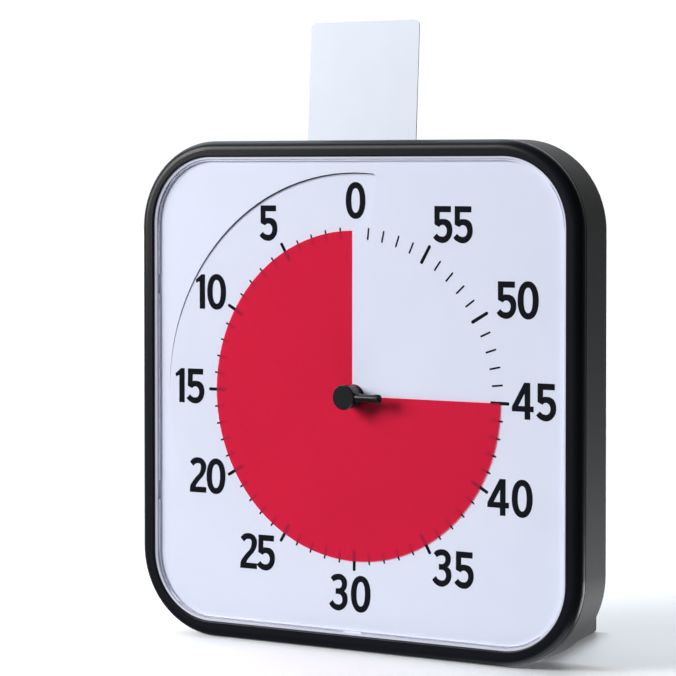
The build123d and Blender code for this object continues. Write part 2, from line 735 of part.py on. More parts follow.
def make_movement_housing():
    low, high = trough_limits()
    bottom = housing_bottom()
    height = HOUSING_ABOVE - bottom
    width = HOUSING_WIDTH
    middle = (HOUSING_ABOVE + bottom) / 2
    shell = slab(Pos(0, middle) * RectangleRounded(width, height, 3.0), HOUSING_FRONT, HOUSING_BACK)
    room = Rectangle(CELL_ROOM, HOUSING_ABOVE + HOUSING_BELOW - HOUSING_WALL)
    room_middle = (HOUSING_ABOVE - HOUSING_WALL - HOUSING_BELOW) / 2
    floor = HOUSING_FRONT + HOUSING_WALL
    shell -= slab(Pos(0, room_middle) * room, floor, HOUSING_BACK + 1)
    cover_seat = Rectangle(width + 2, HOUSING_ABOVE + HOUSING_BELOW + HOUSING_WALL / 2 + 2)
    seat_middle = (HOUSING_ABOVE + 2 - HOUSING_BELOW - HOUSING_WALL / 2) / 2
    shell -= slab(Pos(0, seat_middle) * cover_seat, COVER_FRONT, HOUSING_BACK + 1)
    trough = Rectangle(CELL_ROOM, high - low)
    shell -= slab(Pos(0, cell_level()) * trough, floor, HOUSING_BACK + 1)
    for x, z in post_places():
        shell += rod(POST_R, floor, COVER_FRONT, x, z)
    for x, z in post_places():
        tip = COVER_FRONT - COVER_SCREW_LENGTH
        shell -= rod(SMALL_SCREW_R + BEARING_GAP, tip, COVER_FRONT + 1, x, z)
    for sx, sz in CORNERS:
        x = sx * (width / 2 + EAR_REACH / 2 - 0.5)
        ear = Pos(x, sz * EAR_OFFSET) * RectangleRounded(EAR_REACH + 1, 8.0, 2.0)
        shell += slab(ear, HOUSING_FRONT, HOUSING_FRONT + EAR_T)
    for x, z in ear_places():
        shell -= rod(SMALL_SCREW_R + FIT, HOUSING_FRONT - 1, HOUSING_FRONT + EAR_T + 1, x, z)
    shell += rod(ARBOR_R + 1.6, HOUSING_FRONT, floor + 0.6)
    shell -= rod(ARBOR_R + BEARING_GAP, HOUSING_FRONT - 1, floor + 2)
    for x, z in (THIRD_AT, ROTOR_AT):
        shell -= rod(TRAIN_ARBOR_R + BEARING_GAP, floor - 1.0, floor + 1, x, z)
    return shell


def make_movement_cover():
    height = HOUSING_ABOVE + HOUSING_BELOW + HOUSING_WALL / 2
    middle = (HOUSING_ABOVE - HOUSING_BELOW - HOUSING_WALL / 2) / 2
    cover = slab(
        Pos(0, middle) * RectangleRounded(HOUSING_WIDTH, height - 0.1, 2.0),
        COVER_FRONT,
        HOUSING_BACK,
    )
    cover += rod(ARBOR_R + 1.6, BEARING_FRONT, COVER_FRONT)
    cover -= rod(ARBOR_R + BEARING_GAP, BEARING_FRONT - 1, COVER_FRONT)
    for x, z in (THIRD_AT, ROTOR_AT):
        cover -= rod(TRAIN_ARBOR_R + BEARING_GAP, COVER_FRONT - 1, COVER_FRONT + 0.8, x, z)
    for x, z in post_places():
        cover -= rod(SMALL_SCREW_R + FIT, COVER_FRONT - 1, HOUSING_BACK + 1, x, z)
    return cover


def board_limits():
    """Left, right, bottom and top of the circuit board, from the axis."""
    half = HOUSING_WIDTH / 2 - HOUSING_WALL - FIT
    low = -HOUSING_BELOW + FIT
    return -half, half, low, low + BOARD_HEIGHT


def make_circuit_board():
    left, right, low, high = board_limits()
    board = Pos((left + right) / 2, (low + high) / 2) * Rectangle(right - left, high - low)
    for x, z in post_places():
        board -= Pos(x, z) * Circle(POST_R + FIT)
    return slab(board, BOARD_FACE, BOARD_FACE + BOARD_T)


def make_board_chip():
    low, high = board_limits()[2:]
    width, height, thickness = CHIP
    back = BOARD_FACE + BOARD_T
    outline = Pos(CHIP_X, (low + high) / 2) * Rectangle(width, height)
    return slab(outline, back, back + thickness)


def make_crystal():
    """Quartz in its round can, lying on the board."""
    low, high = board_limits()[2:]
    bottom = AXIS_Z + (low + high - CRYSTAL_LENGTH) / 2
    start = Plane(origin=(CRYSTAL_X, BOARD_FACE + BOARD_T + CRYSTAL_R, bottom))
    return extrude(start * Circle(CRYSTAL_R), CRYSTAL_LENGTH)


def make_buzzer():
    x = -(LEAF_WIDTH / 2 + BUZZER_GAP + BUZZER_R)
    z = board_limits()[2] + BUZZER_R + 1.0
    back = BOARD_FACE + BOARD_T
    sounder = rod(BUZZER_R, back, back + BUZZER_T, x, z)
    return sounder - rod(BUZZER_PORT_R, back + BUZZER_T - 0.8, back + BUZZER_T + 1, x, z)


def make_contact_leaf():
    """Spring leaf that stands on the board and ends just under the cam's edge."""
    foot = AXIS_Z + board_limits()[2] + 10.0
    half = LEAF_WIDTH / 2
    back = CAM_FRONT + 2 * LEAF_T
    leaf = block((-half, half), (back - LEAF_T, back), (foot, AXIS_Z - CAM_R - FIT))
    leaf += block((-half, half), (BOARD_FACE + BOARD_T, back), (foot - 2 * LEAF_T, foot))
    return leaf


def cell_span():
    """Left and right of the cell's body. The nub points right."""
    right = CELL_ROOM / 2 - CONTACT_T - CONTACT_GAP - CELL_NUB
    return right - CELL_LENGTH, right


def cell_axis_y():
    return HOUSING_FRONT + HOUSING_WALL + CELL_GAP + CELL_R


def along_x(profile, start, length):
    """Extrude a profile along +X, about the cell's axis."""
    plane = Plane(
        origin=(start, cell_axis_y(), AXIS_Z + cell_level()), x_dir=(0, 0, 1), z_dir=(1, 0, 0)
    )
    return extrude(plane * profile, length)


def make_battery_cell():
    left, right = cell_span()
    cell = along_x(Circle(CELL_R), left, CELL_LENGTH)
    cell = chamfer(cell.edges().filter_by(GeomType.CIRCLE), 0.4)
    return cell + along_x(Circle(CELL_NUB_R), right, CELL_NUB)


def contact_plate(x, side):
    """Flat contact against an end wall of the trough."""
    half = CELL_R * 0.7
    return along_x(RectangleRounded(2 * half, 2 * half, 1.0), x, side * CONTACT_T)


def make_battery_contact():
    return contact_plate(CELL_ROOM / 2, -1)


def make_battery_spring():
    """Plate and stepped coil, modelled as stacked rings, against the cell's flat end."""
    start = CONTACT_T - CELL_ROOM / 2
    spring = contact_plate(-CELL_ROOM / 2, 1)
    turns = 3
    rise = (cell_span()[0] - start - 0.1) / turns
    for turn in range(turns):
        radius = CELL_R * 0.55 - turn * 0.7
        ring = Circle(radius + 0.8) - Circle(radius - 0.3)
        spring += along_x(ring, start + turn * rise, rise)
    return spring


# ---------------------------------------------------------------- rear case and its fittings


def card_plane():
    """Plane at the slot's mouth: local x is X, local y runs up the card, z to the front."""
    lean = math.radians(CARD_LEAN)
    return Plane(
        origin=(0, FRONT + CARD_SETBACK, CASE_SIDE),
        x_dir=(1, 0, 0),
        z_dir=(0, -math.cos(lean), math.sin(lean)),
    )


def card_slab(profile, thickness):
    """Extrude a profile, drawn on the card's plane, evenly to both sides."""
    return extrude(card_plane() * profile, thickness / 2, both=True)


def door_middle():
    return cell_level()


def door_axis():
    """Height of the battery door's hinge line above the floor, and its depth."""
    return AXIS_Z + door_middle() - DOOR_HEIGHT / 2 + DOOR_T / 2, BACK - DOOR_T / 2


def foot_notch_limits():
    reach = FOOT_AXIS_X + BARREL_R + FOOT_GAP
    depth = BACK - FOOT_AXIS_IN - FOOT_T / 2 - FOOT_GAP
    return reach, depth, FOOT_HEIGHT + FOOT_GAP


def keyhole_level():
    return CASE_SIDE - KEYHOLE_DROP - AXIS_Z


def make_rear_case():
    outer = slab(square(CASE_SIDE, CORNER_R), PARTING, BACK)
    outer = fillet(outer.faces().sort_by(Axis.Y)[-1].edges(), BACK_EDGE_R)
    groove = square(CASE_SIDE + 2, CORNER_R + 1)
    groove -= square(CASE_SIDE - 2 * GROOVE_DEPTH, CORNER_R - GROOVE_DEPTH)
    outer -= slab(groove, PARTING - 1, PARTING + GROOVE_WIDTH)
    case = outer - slab(square(CASE_SIDE - 2 * WALL, CORNER_R - WALL), PARTING - 1, WALL_FRONT)
    reach, depth, height = foot_notch_limits()
    liner = block((-reach - WALL, reach + WALL), (depth - WALL, BACK), (0, height + WALL))
    case += liner & outer
    case -= block((-reach, reach), (depth, BACK + 1), (-1, height))
    for side in (-1, 1):
        lug = rod_up(BARREL_R + 0.6, 0, BARREL_BOTTOM - FIT, side * FOOT_AXIS_X)
        wall = block(
            (side * FOOT_AXIS_X - BARREL_R, side * FOOT_AXIS_X + BARREL_R),
            (depth - 0.5, BACK - FOOT_AXIS_IN),
            (0, BARREL_BOTTOM - FIT),
        )
        case += (lug + wall) & outer
    for side in (-1, 1):
        bottom = BARREL_BOTTOM - FIT - PIN_GRIP
        case -= rod_up(HINGE_PIN_R, bottom, height + PIN_GRIP, side * FOOT_AXIS_X)
    support = LENS_SIDE / 2 - 2.5
    inner_wall = CASE_SIDE / 2 - WALL
    rib_step = PARTING + SPIGOT_LENGTH + FIT
    for turn in range(4):
        for offset in RIB_OFFSETS:
            back = DIAL_BACK + RIB_LENGTH
            width = (offset - RIB_T / 2, offset + RIB_T / 2)
            rib = block((support, LENS_SIDE / 2), (DIAL_BACK, back), width)
            rib += block((support, inner_wall + 0.5), (rib_step, back), width)
            case += Pos(0, 0, AXIS_Z) * Rot(0, 90 * turn, 0) * rib
    tube_front = PARTING + SPIGOT_LENGTH + 2 * FIT
    for sx, sz in CORNERS:
        x, z = sx * BOSS_AT, sz * BOSS_AT
        case += rod(TUBE_R, tube_front, BACK - 0.5, x, z)
        case -= rod(COUNTERBORE_R, tube_front + TUBE_TIP_T, BACK + 1, x, z)
        case -= rod(SCREW_R + FIT, tube_front - 1, BACK, x, z)
        px, pz = sx * PLATE_BOSS_OFFSET, sz * PLATE_BOSS_OFFSET
        case += rod(TUBE_R, HOUSING_FRONT, WALL_FRONT + 0.5, px, pz)
        tip = HOUSING_FRONT + PLATE_SCREW_LENGTH
        case -= rod(SMALL_SCREW_R + BEARING_GAP, HOUSING_FRONT - 1, tip, px, pz)
    keyhole = Pos(0, keyhole_level()) * Circle(KEYHOLE_R)
    keyhole += Pos(0, keyhole_level() + KEYHOLE_RISE) * Circle(KEYHOLE_SLOT_R)
    middle = keyhole_level() + KEYHOLE_RISE / 2
    keyhole += Pos(0, middle) * Rectangle(2 * KEYHOLE_SLOT_R, KEYHOLE_RISE)
    case -= slab(keyhole, WALL_FRONT - 1, BACK + 1)
    recess = Rectangle(DOOR_WIDTH + 2 * DOOR_GAP, DOOR_HEIGHT + 2 * DOOR_GAP)
    case -= slab(Pos(0, door_middle()) * recess, BACK - DOOR_T, BACK + 1)
    window = Rectangle(DOOR_WIDTH - 2 * DOOR_LEDGE, DOOR_HEIGHT - 2 * DOOR_LEDGE)
    case -= slab(Pos(0, door_middle()) * window, WALL_FRONT - 1, BACK + 1)
    door_z, door_y = door_axis()
    pin_half = DOOR_WIDTH / 2 + DOOR_GAP + DOOR_PIN_LENGTH
    hole_plane = Plane(origin=(-pin_half, door_y, door_z), x_dir=(0, 1, 0), z_dir=(1, 0, 0))
    case -= extrude(hole_plane * Circle(DOOR_PIN_R + BEARING_GAP), 2 * pin_half)
    slot_width = SWITCH_BUTTON[0] + SWITCH_TRAVEL + 2 * FIT
    slot = Rectangle(slot_width, SWITCH_BUTTON[1] + 2 * FIT)
    slot_middle = SWITCH_X + SWITCH_TRAVEL / 2
    case -= slab(Pos(slot_middle, SWITCH_RISE) * slot, WALL_FRONT - 1, BACK + 1)
    mouth = Rectangle(CARD_WIDTH + 2 * POCKET_GAP, 3 * WALL)
    case -= card_slab(mouth, CARD_T + 2 * POCKET_GAP + 2 * FIT)
    return case


def rod_up(radius, bottom, top, x):
    """Cylinder along Z on a foot's hinge axis."""
    plane = Plane(origin=(x, BACK - FOOT_AXIS_IN, bottom))
    return extrude(plane * Circle(radius), top - bottom)


def make_case_screws():
    tube_front = PARTING + SPIGOT_LENGTH + 2 * FIT
    head = tube_front + TUBE_TIP_T
    screws = []
    for sx, sz in CORNERS:
        x, z = sx * BOSS_AT, sz * BOSS_AT
        screws.append(
            rod(SCREW_HEAD_R, head, head + SCREW_HEAD_T, x, z)
            + rod(SCREW_R, head - SCREW_LENGTH, head, x, z)
        )
    return group(screws)


def make_battery_door():
    door_z, door_y = door_axis()
    top = AXIS_Z + door_middle() + DOOR_HEIGHT / 2
    half = DOOR_WIDTH / 2
    door = block((-half, half), (BACK - DOOR_T, BACK), (door_z, top))
    edge = Plane(origin=(-half, door_y, door_z), x_dir=(0, 1, 0), z_dir=(1, 0, 0))
    door += extrude(edge * Circle(DOOR_T / 2), DOOR_WIDTH)
    reach = half + DOOR_GAP + DOOR_PIN_LENGTH - 0.2
    pins = Plane(origin=(-reach, door_y, door_z), x_dir=(0, 1, 0), z_dir=(1, 0, 0))
    door += extrude(pins * Circle(DOOR_PIN_R), 2 * reach)
    grip = Plane(origin=(0, BACK, top - 5.0), x_dir=(1, 0, 0), z_dir=(0, 1, 0))
    door -= extrude(grip * RectangleRounded(*DOOR_GRIP), DOOR_T / 2, both=True)
    return door


def make_sound_switch():
    width, height = SWITCH_BUTTON
    back = BACK + SWITCH_PROUD
    button = slab(
        Pos(SWITCH_X, SWITCH_RISE) * Rectangle(width, height), WALL_FRONT - 0.2, back
    )
    grooves = (-1.5, 0.0, 1.5)
    for groove in grooves:
        button -= slab(
            Pos(SWITCH_X + groove, SWITCH_RISE) * Rectangle(0.6, height), back - 0.4, back + 1
        )
    flange = Rectangle(width + 3.0, height + 4.0)
    button += slab(Pos(SWITCH_X, SWITCH_RISE) * flange, WALL_FRONT - 1.2, WALL_FRONT - 0.2)
    return button


def make_switch_base():
    """Contact base on the movement cover, under the sound switch's slider."""
    width = SWITCH_BUTTON[0] + SWITCH_TRAVEL + 6.0
    middle = SWITCH_X + SWITCH_TRAVEL / 2
    height = SWITCH_BUTTON[1] + 5.0
    base = Pos(middle, SWITCH_RISE) * Rectangle(width, height)
    return slab(base, HOUSING_BACK, WALL_FRONT - 1.2 - FIT)


def make_card_pocket():
    gap = CARD_T + 2 * POCKET_GAP
    depth = CARD_HIDDEN + 1.0
    outer = Pos(0, -(depth + POCKET_WALL) / 2) * Rectangle(
        CARD_WIDTH + 2 * (POCKET_GAP + POCKET_WALL), depth + POCKET_WALL
    )
    pocket = card_slab(outer, gap + 2 * POCKET_WALL)
    roof = CASE_SIDE - WALL
    middle = FRONT + CARD_SETBACK
    half = CARD_WIDTH / 2 + POCKET_GAP + POCKET_WALL + 2.0
    pocket += block(
        (-half, half),
        (middle - POCKET_FLANGE, middle + POCKET_FLANGE),
        (roof - POCKET_FLANGE_T, roof),
    )
    clear = CARD_HIDDEN
    pocket -= block((-half, half), (middle - clear, middle + clear), (roof, roof + clear))
    slot = Rectangle(CARD_WIDTH + 2 * POCKET_GAP, 2 * CARD_HIDDEN)
    return pocket - card_slab(slot, gap)


def make_dry_erase_card():
    height = CARD_SHOWN + CARD_HIDDEN
    middle = (CARD_SHOWN - CARD_HIDDEN) / 2
    card = Pos(0, middle) * RectangleRounded(CARD_WIDTH, height, CARD_CORNER_R)
    return card_slab(card, CARD_T)


# ---------------------------------------------------------------- feet


def foot_in_rest(piece):
    """Turn a right foot, modelled folded towards -X, out to its standing place."""
    axis = Axis((FOOT_AXIS_X, BACK - FOOT_AXIS_IN, 0), (0, 0, 1))
    return piece.rotate(axis, -FOOT_OPEN)


def foot_profile():
    """Side view of the folded foot: x along the blade from the hinge, y up from the floor."""
    tip = -FOOT_LENGTH
    root = -(BARREL_R + 2.8)
    outline = FilletPolyline(
        (0.0, BARREL_BOTTOM),
        (0.0, FOOT_HEIGHT),
        (root, FOOT_HEIGHT),
        (tip, FOOT_TIP_HEIGHT),
        (tip, FOOT_LIFT),
        (root - 2.0, FOOT_LIFT),
        (root, BARREL_BOTTOM),
        radius=1.0,
        close=True,
    )
    return make_face(outline)


def make_foot_right():
    y = BACK - FOOT_AXIS_IN
    side = Plane(origin=(FOOT_AXIS_X, y, 0), x_dir=(1, 0, 0), z_dir=(0, -1, 0))
    foot = extrude(side * foot_profile(), FOOT_T / 2, both=True)
    foot += rod_up(BARREL_R, BARREL_BOTTOM, FOOT_HEIGHT, FOOT_AXIS_X)
    foot -= rod_up(HINGE_PIN_R + BEARING_GAP, 0, FOOT_HEIGHT + 1, FOOT_AXIS_X)
    lightening = Pos(-FOOT_LENGTH * 0.5, FOOT_HEIGHT * 0.45) * RectangleRounded(
        FOOT_LENGTH * 0.6, FOOT_HEIGHT * 0.35, 2.0
    )
    inner_face = Plane(
        origin=(FOOT_AXIS_X, y - FOOT_T / 2, 0), x_dir=(1, 0, 0), z_dir=(0, -1, 0)
    )
    foot -= extrude(inner_face * lightening, 1.4, both=True)
    foot -= foot_pad_block()
    return foot_in_rest(foot)


def foot_pad_block():
    tip = FOOT_AXIS_X - FOOT_LENGTH
    y = BACK - FOOT_AXIS_IN
    half = FOOT_T / 2 - 0.8
    start = tip + 3.0
    return block((start, start + PAD_LENGTH), (y - half, y + half), (0, PAD_T + FOOT_LIFT))


def make_foot_pad_right():
    return foot_in_rest(foot_pad_block())


def make_foot_pins():
    bottom = BARREL_BOTTOM - FIT - PIN_GRIP
    top = foot_notch_limits()[2] + PIN_GRIP
    pins = [rod_up(HINGE_PIN_R, bottom, top, side * FOOT_AXIS_X) for side in (-1, 1)]
    return group(pins)


# ---------------------------------------------------------------- all pieces

PIECES = {
    "front_bezel": make_front_bezel,
    "lens_cover": make_lens_cover,
    "dial_frame": make_dial_frame,
    "dial_plate": make_dial_plate,
    "red_disc": make_red_disc,
    "disc_collar": make_disc_collar,
    "hub_sleeve": make_hub_sleeve,
    "setting_knob": make_setting_knob,
    "lever_tip": make_lever_tip,
    "arbor": make_arbor,
    "arbor_clip": make_arbor_clip,
    "clutch_spring": make_clutch_spring,
    "alarm_cam": make_alarm_cam,
    "centre_wheel": make_centre_wheel,
    "third_wheel": make_third_wheel,
    "rotor_pinion": make_rotor,
    "rotor_magnet": make_rotor_magnet,
    "stator": make_stator,
    "coil": make_coil,
    "movement_plate": make_movement_plate,
    "movement_housing": make_movement_housing,
    "movement_cover": make_movement_cover,
    "plate_screws": make_plate_screws,
    "movement_screws": make_movement_screws,
    "cover_screws": make_cover_screws,
    "circuit_board": make_circuit_board,
    "board_chip": make_board_chip,
    "crystal": make_crystal,
    "buzzer": make_buzzer,
    "contact_leaf": make_contact_leaf,
    "battery_cell": make_battery_cell,
    "battery_contact": make_battery_contact,
    "battery_spring": make_battery_spring,
    "rear_case": make_rear_case,
    "case_screws": make_case_screws,
    "battery_door": make_battery_door,
    "sound_switch": make_sound_switch,
    "switch_base": make_switch_base,
    "card_pocket": make_card_pocket,
    "dry_erase_card": make_dry_erase_card,
    "foot_right": make_foot_right,
    "foot_left": lambda: mirrored(make_foot_right()),
    "foot_pad_right": make_foot_pad_right,
    "foot_pad_left": lambda: mirrored(make_foot_pad_right()),
    "foot_pins": make_foot_pins,
}

os.makedirs("parts", exist_ok=True)
for name, make in PIECES.items():
    export_step(make(), f"parts/{name}.step")
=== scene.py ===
"""Finishes, printing and studio for the free-standing countdown timer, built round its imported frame.

Lengths are in metres. The dial faces -Y, X points right and Z up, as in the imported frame.
"""

import logging
import math
from dataclasses import dataclass, field
from enum import Enum

import bmesh
import bpy
from mathutils import Matrix, Vector
from mathutils.bvhtree import BVHTree


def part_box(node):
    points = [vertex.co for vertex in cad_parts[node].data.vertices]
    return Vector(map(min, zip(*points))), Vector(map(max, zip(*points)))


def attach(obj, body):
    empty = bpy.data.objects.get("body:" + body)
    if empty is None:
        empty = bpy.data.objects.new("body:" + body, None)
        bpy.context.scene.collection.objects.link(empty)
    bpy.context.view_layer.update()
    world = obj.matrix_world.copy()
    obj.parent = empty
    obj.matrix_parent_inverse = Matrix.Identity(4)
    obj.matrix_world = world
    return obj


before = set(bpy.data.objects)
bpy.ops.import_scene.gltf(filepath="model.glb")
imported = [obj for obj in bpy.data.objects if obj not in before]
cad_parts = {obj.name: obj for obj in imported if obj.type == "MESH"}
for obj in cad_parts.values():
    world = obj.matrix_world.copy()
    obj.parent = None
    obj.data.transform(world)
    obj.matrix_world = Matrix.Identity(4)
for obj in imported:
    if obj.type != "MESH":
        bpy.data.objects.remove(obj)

LOG = logging.getLogger("timer")
MM = 0.001
AXIS_Z = 152.2 * MM
DEGREES_PER_MINUTE = 6
WELD = 1e-6

Colour = tuple[float, float, float]
Place = tuple[float, float, float]
Span = tuple[float, float]
Handle = tuple[float, float]


def place_mesh(name: str, work: bmesh.types.BMesh) -> bpy.types.Object:
    """Make a scene object of a finished bmesh and free the bmesh.

    Args:
        name: name of the object and its mesh.
        work: the bmesh, in its place.

    Returns:
        The object, linked to the scene.
    """
    mesh = bpy.data.meshes.new(name)
    work.to_mesh(mesh)
    work.free()
    piece = bpy.data.objects.new(name, mesh)
    bpy.context.scene.collection.objects.link(piece)
    return piece


def stand_up(work: bmesh.types.BMesh, y: float = 0.0) -> None:
    """Turn a flat drawing upright, centred on the dial's axis, at this depth."""
    bmesh.ops.rotate(work, verts=work.verts, matrix=Matrix.Rotation(math.pi / 2, 3, "X"))
    bmesh.ops.translate(work, verts=work.verts, vec=(0, y, AXIS_Z))


# ---------------------------------------------------------------- materials


class Recipe:
    """A material being put together: its node tree and short ways to extend it."""

    noise_middle: Span = (0.3, 0.7)
    tone_stops: Span = (0.35, 0.65)

    def __init__(self, name: str) -> None:
        """Start an empty tree with a Principled shader wired to the output.

        Args:
            name: name of the material.
        """
        self.material = bpy.data.materials.new(name)
        self.material.use_nodes = True
        self.tree = self.material.node_tree
        self.tree.nodes.clear()
        self.output = self.add("ShaderNodeOutputMaterial")
        self.shader = self.add("ShaderNodeBsdfPrincipled")
        self.wire(self.shader, "BSDF", self.output, "Surface")
        self.place = self.add("ShaderNodeTexCoord")

    def add(self, kind: str, **settings: object) -> bpy.types.Node:
        """Add a node and set its own properties.

        Args:
            kind: Blender's identifier of the node type.
            **settings: property names and values.

        Returns:
            The new node.
        """
        node = self.tree.nodes.new(kind)
        for name, value in settings.items():
            setattr(node, name, value)
        return node

    def wire(
        self, source: bpy.types.Node, output: str, target: bpy.types.Node, socket: str | int
    ) -> None:
        """Link an output of one node to a socket of another, given by its name or number."""
        self.tree.links.new(source.outputs[output], target.inputs[socket])

    def noise(self, feature: float, detail: float = 2.0, stretch: Place = (1, 1, 1)) -> bpy.types.Node:
        """Add a noise pattern on Object coordinates.

        Args:
            feature: typical size of one blotch or grain, in metres.
            detail: octaves of finer noise.
            stretch: extra scale along X, Y and Z.

        Returns:
            The noise node.
        """
        mapping = self.add("ShaderNodeMapping")
        mapping.inputs["Scale"].default_value = stretch
        self.wire(self.place, "Object", mapping, "Vector")
        pattern = self.add("ShaderNodeTexNoise")
        pattern.inputs["Scale"].default_value = 1.0 / feature
        pattern.inputs["Detail"].default_value = detail
        self.wire(mapping, "Vector", pattern, "Vector")
        return pattern

    def spread(self, source: bpy.types.Node, output: str, low: float, high: float) -> bpy.types.Node:
        """Map a pattern's middle range to a range of values.

        Args:
            source: node that holds the pattern.
            output: its output's name.
            low: value for the pattern's low places.
            high: value for its high places.

        Returns:
            The node whose Result holds the values.
        """
        span = self.add("ShaderNodeMapRange")
        span.inputs["From Min"].default_value = self.noise_middle[0]
        span.inputs["From Max"].default_value = self.noise_middle[1]
        span.inputs["To Min"].default_value = low
        span.inputs["To Max"].default_value = high
        self.wire(source, output, span, "Value")
        return span

    def two_tone(self, pattern: bpy.types.Node, first: Colour, second: Colour) -> bpy.types.Node:
        """Blend two colours by a pattern.

        Args:
            pattern: node that holds the pattern.
            first: colour of its low places.
            second: colour of its high places.

        Returns:
            The node whose Color holds the blend.
        """
        ramp = self.add("ShaderNodeValToRGB")
        stops = zip(ramp.color_ramp.elements, self.tone_stops, (first, second))
        for element, position, colour in stops:
            element.position = position
            element.color = (*colour, 1)
        self.wire(pattern, "Fac", ramp, "Fac")
        return ramp

    def relief(self, pattern: bpy.types.Node, output: str, depth: float) -> bpy.types.Node:
        """Raise the surface by a pattern.

        Args:
            pattern: node that holds the pattern.
            output: its output's name.
            depth: height of the relief, in metres.

        Returns:
            The bump node.
        """
        bump = self.add("ShaderNodeBump")
        bump.inputs["Strength"].default_value = 1.0
        bump.inputs["Distance"].default_value = depth
        self.wire(pattern, output, bump, "Height")
        return bump


def shaded(colour: Colour, factor: float) -> Colour:
    """The colour made lighter or darker by a factor."""
    return tuple(min(1.0, channel * factor) for channel in colour)


@dataclass(frozen=True)
class Moulding:
    """Moulded plastic or rubber: slightly uneven colour, fine spark-eroded grain, uneven gloss."""

    name: str
    colour: Colour
    roughness: float = 0.5
    grain: float = 0.5 * MM
    depth: float = 0.01 * MM
    unevenness: float = 0.06
    blotch: float = 30 * MM
    specular: float = 0.5
    gloss: Span = (0.92, 1.08)

    def make(self) -> bpy.types.Material:
        """Build the material.

        Returns:
            The material.
        """
        recipe = Recipe(self.name)
        cloud = recipe.noise(self.blotch, detail=3.0)
        tone = recipe.two_tone(
            cloud, shaded(self.colour, 1 - self.unevenness), shaded(self.colour, 1 + self.unevenness)
        )
        recipe.wire(tone, "Color", recipe.shader, "Base Color")
        grain = recipe.noise(self.grain)
        smooth, rough = (min(1.0, self.roughness * share) for share in self.gloss)
        gloss = recipe.spread(grain, "Fac", smooth, rough)
        recipe.wire(gloss, "Result", recipe.shader, "Roughness")
        relief = recipe.relief(grain, "Fac", self.depth)
        recipe.wire(relief, "Normal", recipe.shader, "Normal")
        recipe.shader.inputs["Specular IOR Level"].default_value = self.specular
        return recipe.material


@dataclass(frozen=True)
class Metal:
    """Plain or plated metal with fine drawn lines along one axis."""

    name: str
    colour: Colour
    roughness: float = 0.3
    drawn: Place = (1, 12, 1)
    line: float = 0.6 * MM
    depth: float = 0.004 * MM
    tones: Span = (0.9, 1.05)
    gloss: Span = (0.85, 1.2)

    def make(self) -> bpy.types.Material:
        """Build the material.

        Returns:
            The material.
        """
        recipe = Recipe(self.name)
        lines = recipe.noise(self.line, stretch=self.drawn)
        dark, light = (shaded(self.colour, share) for share in self.tones)
        tone = recipe.two_tone(lines, dark, light)
        recipe.wire(tone, "Color", recipe.shader, "Base Color")
        smooth, rough = (self.roughness * share for share in self.gloss)
        gloss = recipe.spread(lines, "Fac", smooth, rough)
        recipe.wire(gloss, "Result", recipe.shader, "Roughness")
        relief = recipe.relief(lines, "Fac", self.depth)
        recipe.wire(relief, "Normal", recipe.shader, "Normal")
        recipe.shader.inputs["Metallic"].default_value = 1.0
        return recipe.material


@dataclass(frozen=True)
class Winding:
    """Fine enamelled wire wound round a bobbin that stands along Z."""

    name: str
    colour: Colour
    closeness: float = 200.0
    waver: float = 0.4
    depth: float = 0.04 * MM
    tones: Span = (0.6, 1.1)
    metallic: float = 0.6
    roughness: float = 0.35

    def make(self) -> bpy.types.Material:
        """Build the material.

        Returns:
            The material.
        """
        recipe = Recipe(self.name)
        turns = recipe.add("ShaderNodeTexWave", wave_type="BANDS", bands_direction="Z")
        turns.inputs["Scale"].default_value = self.closeness
        turns.inputs["Distortion"].default_value = self.waver
        recipe.wire(recipe.place, "Object", turns, "Vector")
        dark, light = (shaded(self.colour, share) for share in self.tones)
        tone = recipe.two_tone(turns, dark, light)
        recipe.wire(tone, "Color", recipe.shader, "Base Color")
        relief = recipe.relief(turns, "Fac", self.depth)
        recipe.wire(relief, "Normal", recipe.shader, "Normal")
        recipe.shader.inputs["Metallic"].default_value = self.metallic
        recipe.shader.inputs["Roughness"].default_value = self.roughness
        return recipe.material


@dataclass(frozen=True)
class ClearSheet:
    """Clear acrylic: light passes straight through, and the surface only mirrors a little."""

    name: str
    tint: Colour
    ior: float = 1.49
    polish: float = 0.03
    ripple: float = 40 * MM
    depth: float = 0.02 * MM

    def make(self) -> bpy.types.Material:
        """Build the material.

        Returns:
            The material.
        """
        recipe = Recipe(self.name)
        recipe.tree.nodes.remove(recipe.shader)
        through = recipe.add("ShaderNodeBsdfTransparent")
        through.inputs["Color"].default_value = (*self.tint, 1)
        mirror = recipe.add("ShaderNodeBsdfGlossy")
        mirror.inputs["Roughness"].default_value = self.polish
        ripple = recipe.noise(self.ripple, detail=1.0)
        relief = recipe.relief(ripple, "Fac", self.depth)
        recipe.wire(relief, "Normal", mirror, "Normal")
        fresnel = recipe.add("ShaderNodeFresnel")
        fresnel.inputs["IOR"].default_value = self.ior
        facing = recipe.add("ShaderNodeNewGeometry")
        outside = recipe.add("ShaderNodeMath", operation="SUBTRACT")
        outside.inputs[0].default_value = 1.0
        recipe.wire(facing, "Backfacing", outside, 1)
        share = recipe.add("ShaderNodeMath", operation="MULTIPLY")
        recipe.wire(fresnel, "Fac", share, 0)
        recipe.wire(outside, "Value", share, 1)
        blend = recipe.add("ShaderNodeMixShader")
        recipe.wire(share, "Value", blend, "Fac")
        recipe.wire(through, "BSDF", blend, 1)
        recipe.wire(mirror, "BSDF", blend, 2)
        recipe.wire(blend, "Shader", recipe.output, "Surface")
        return recipe.material


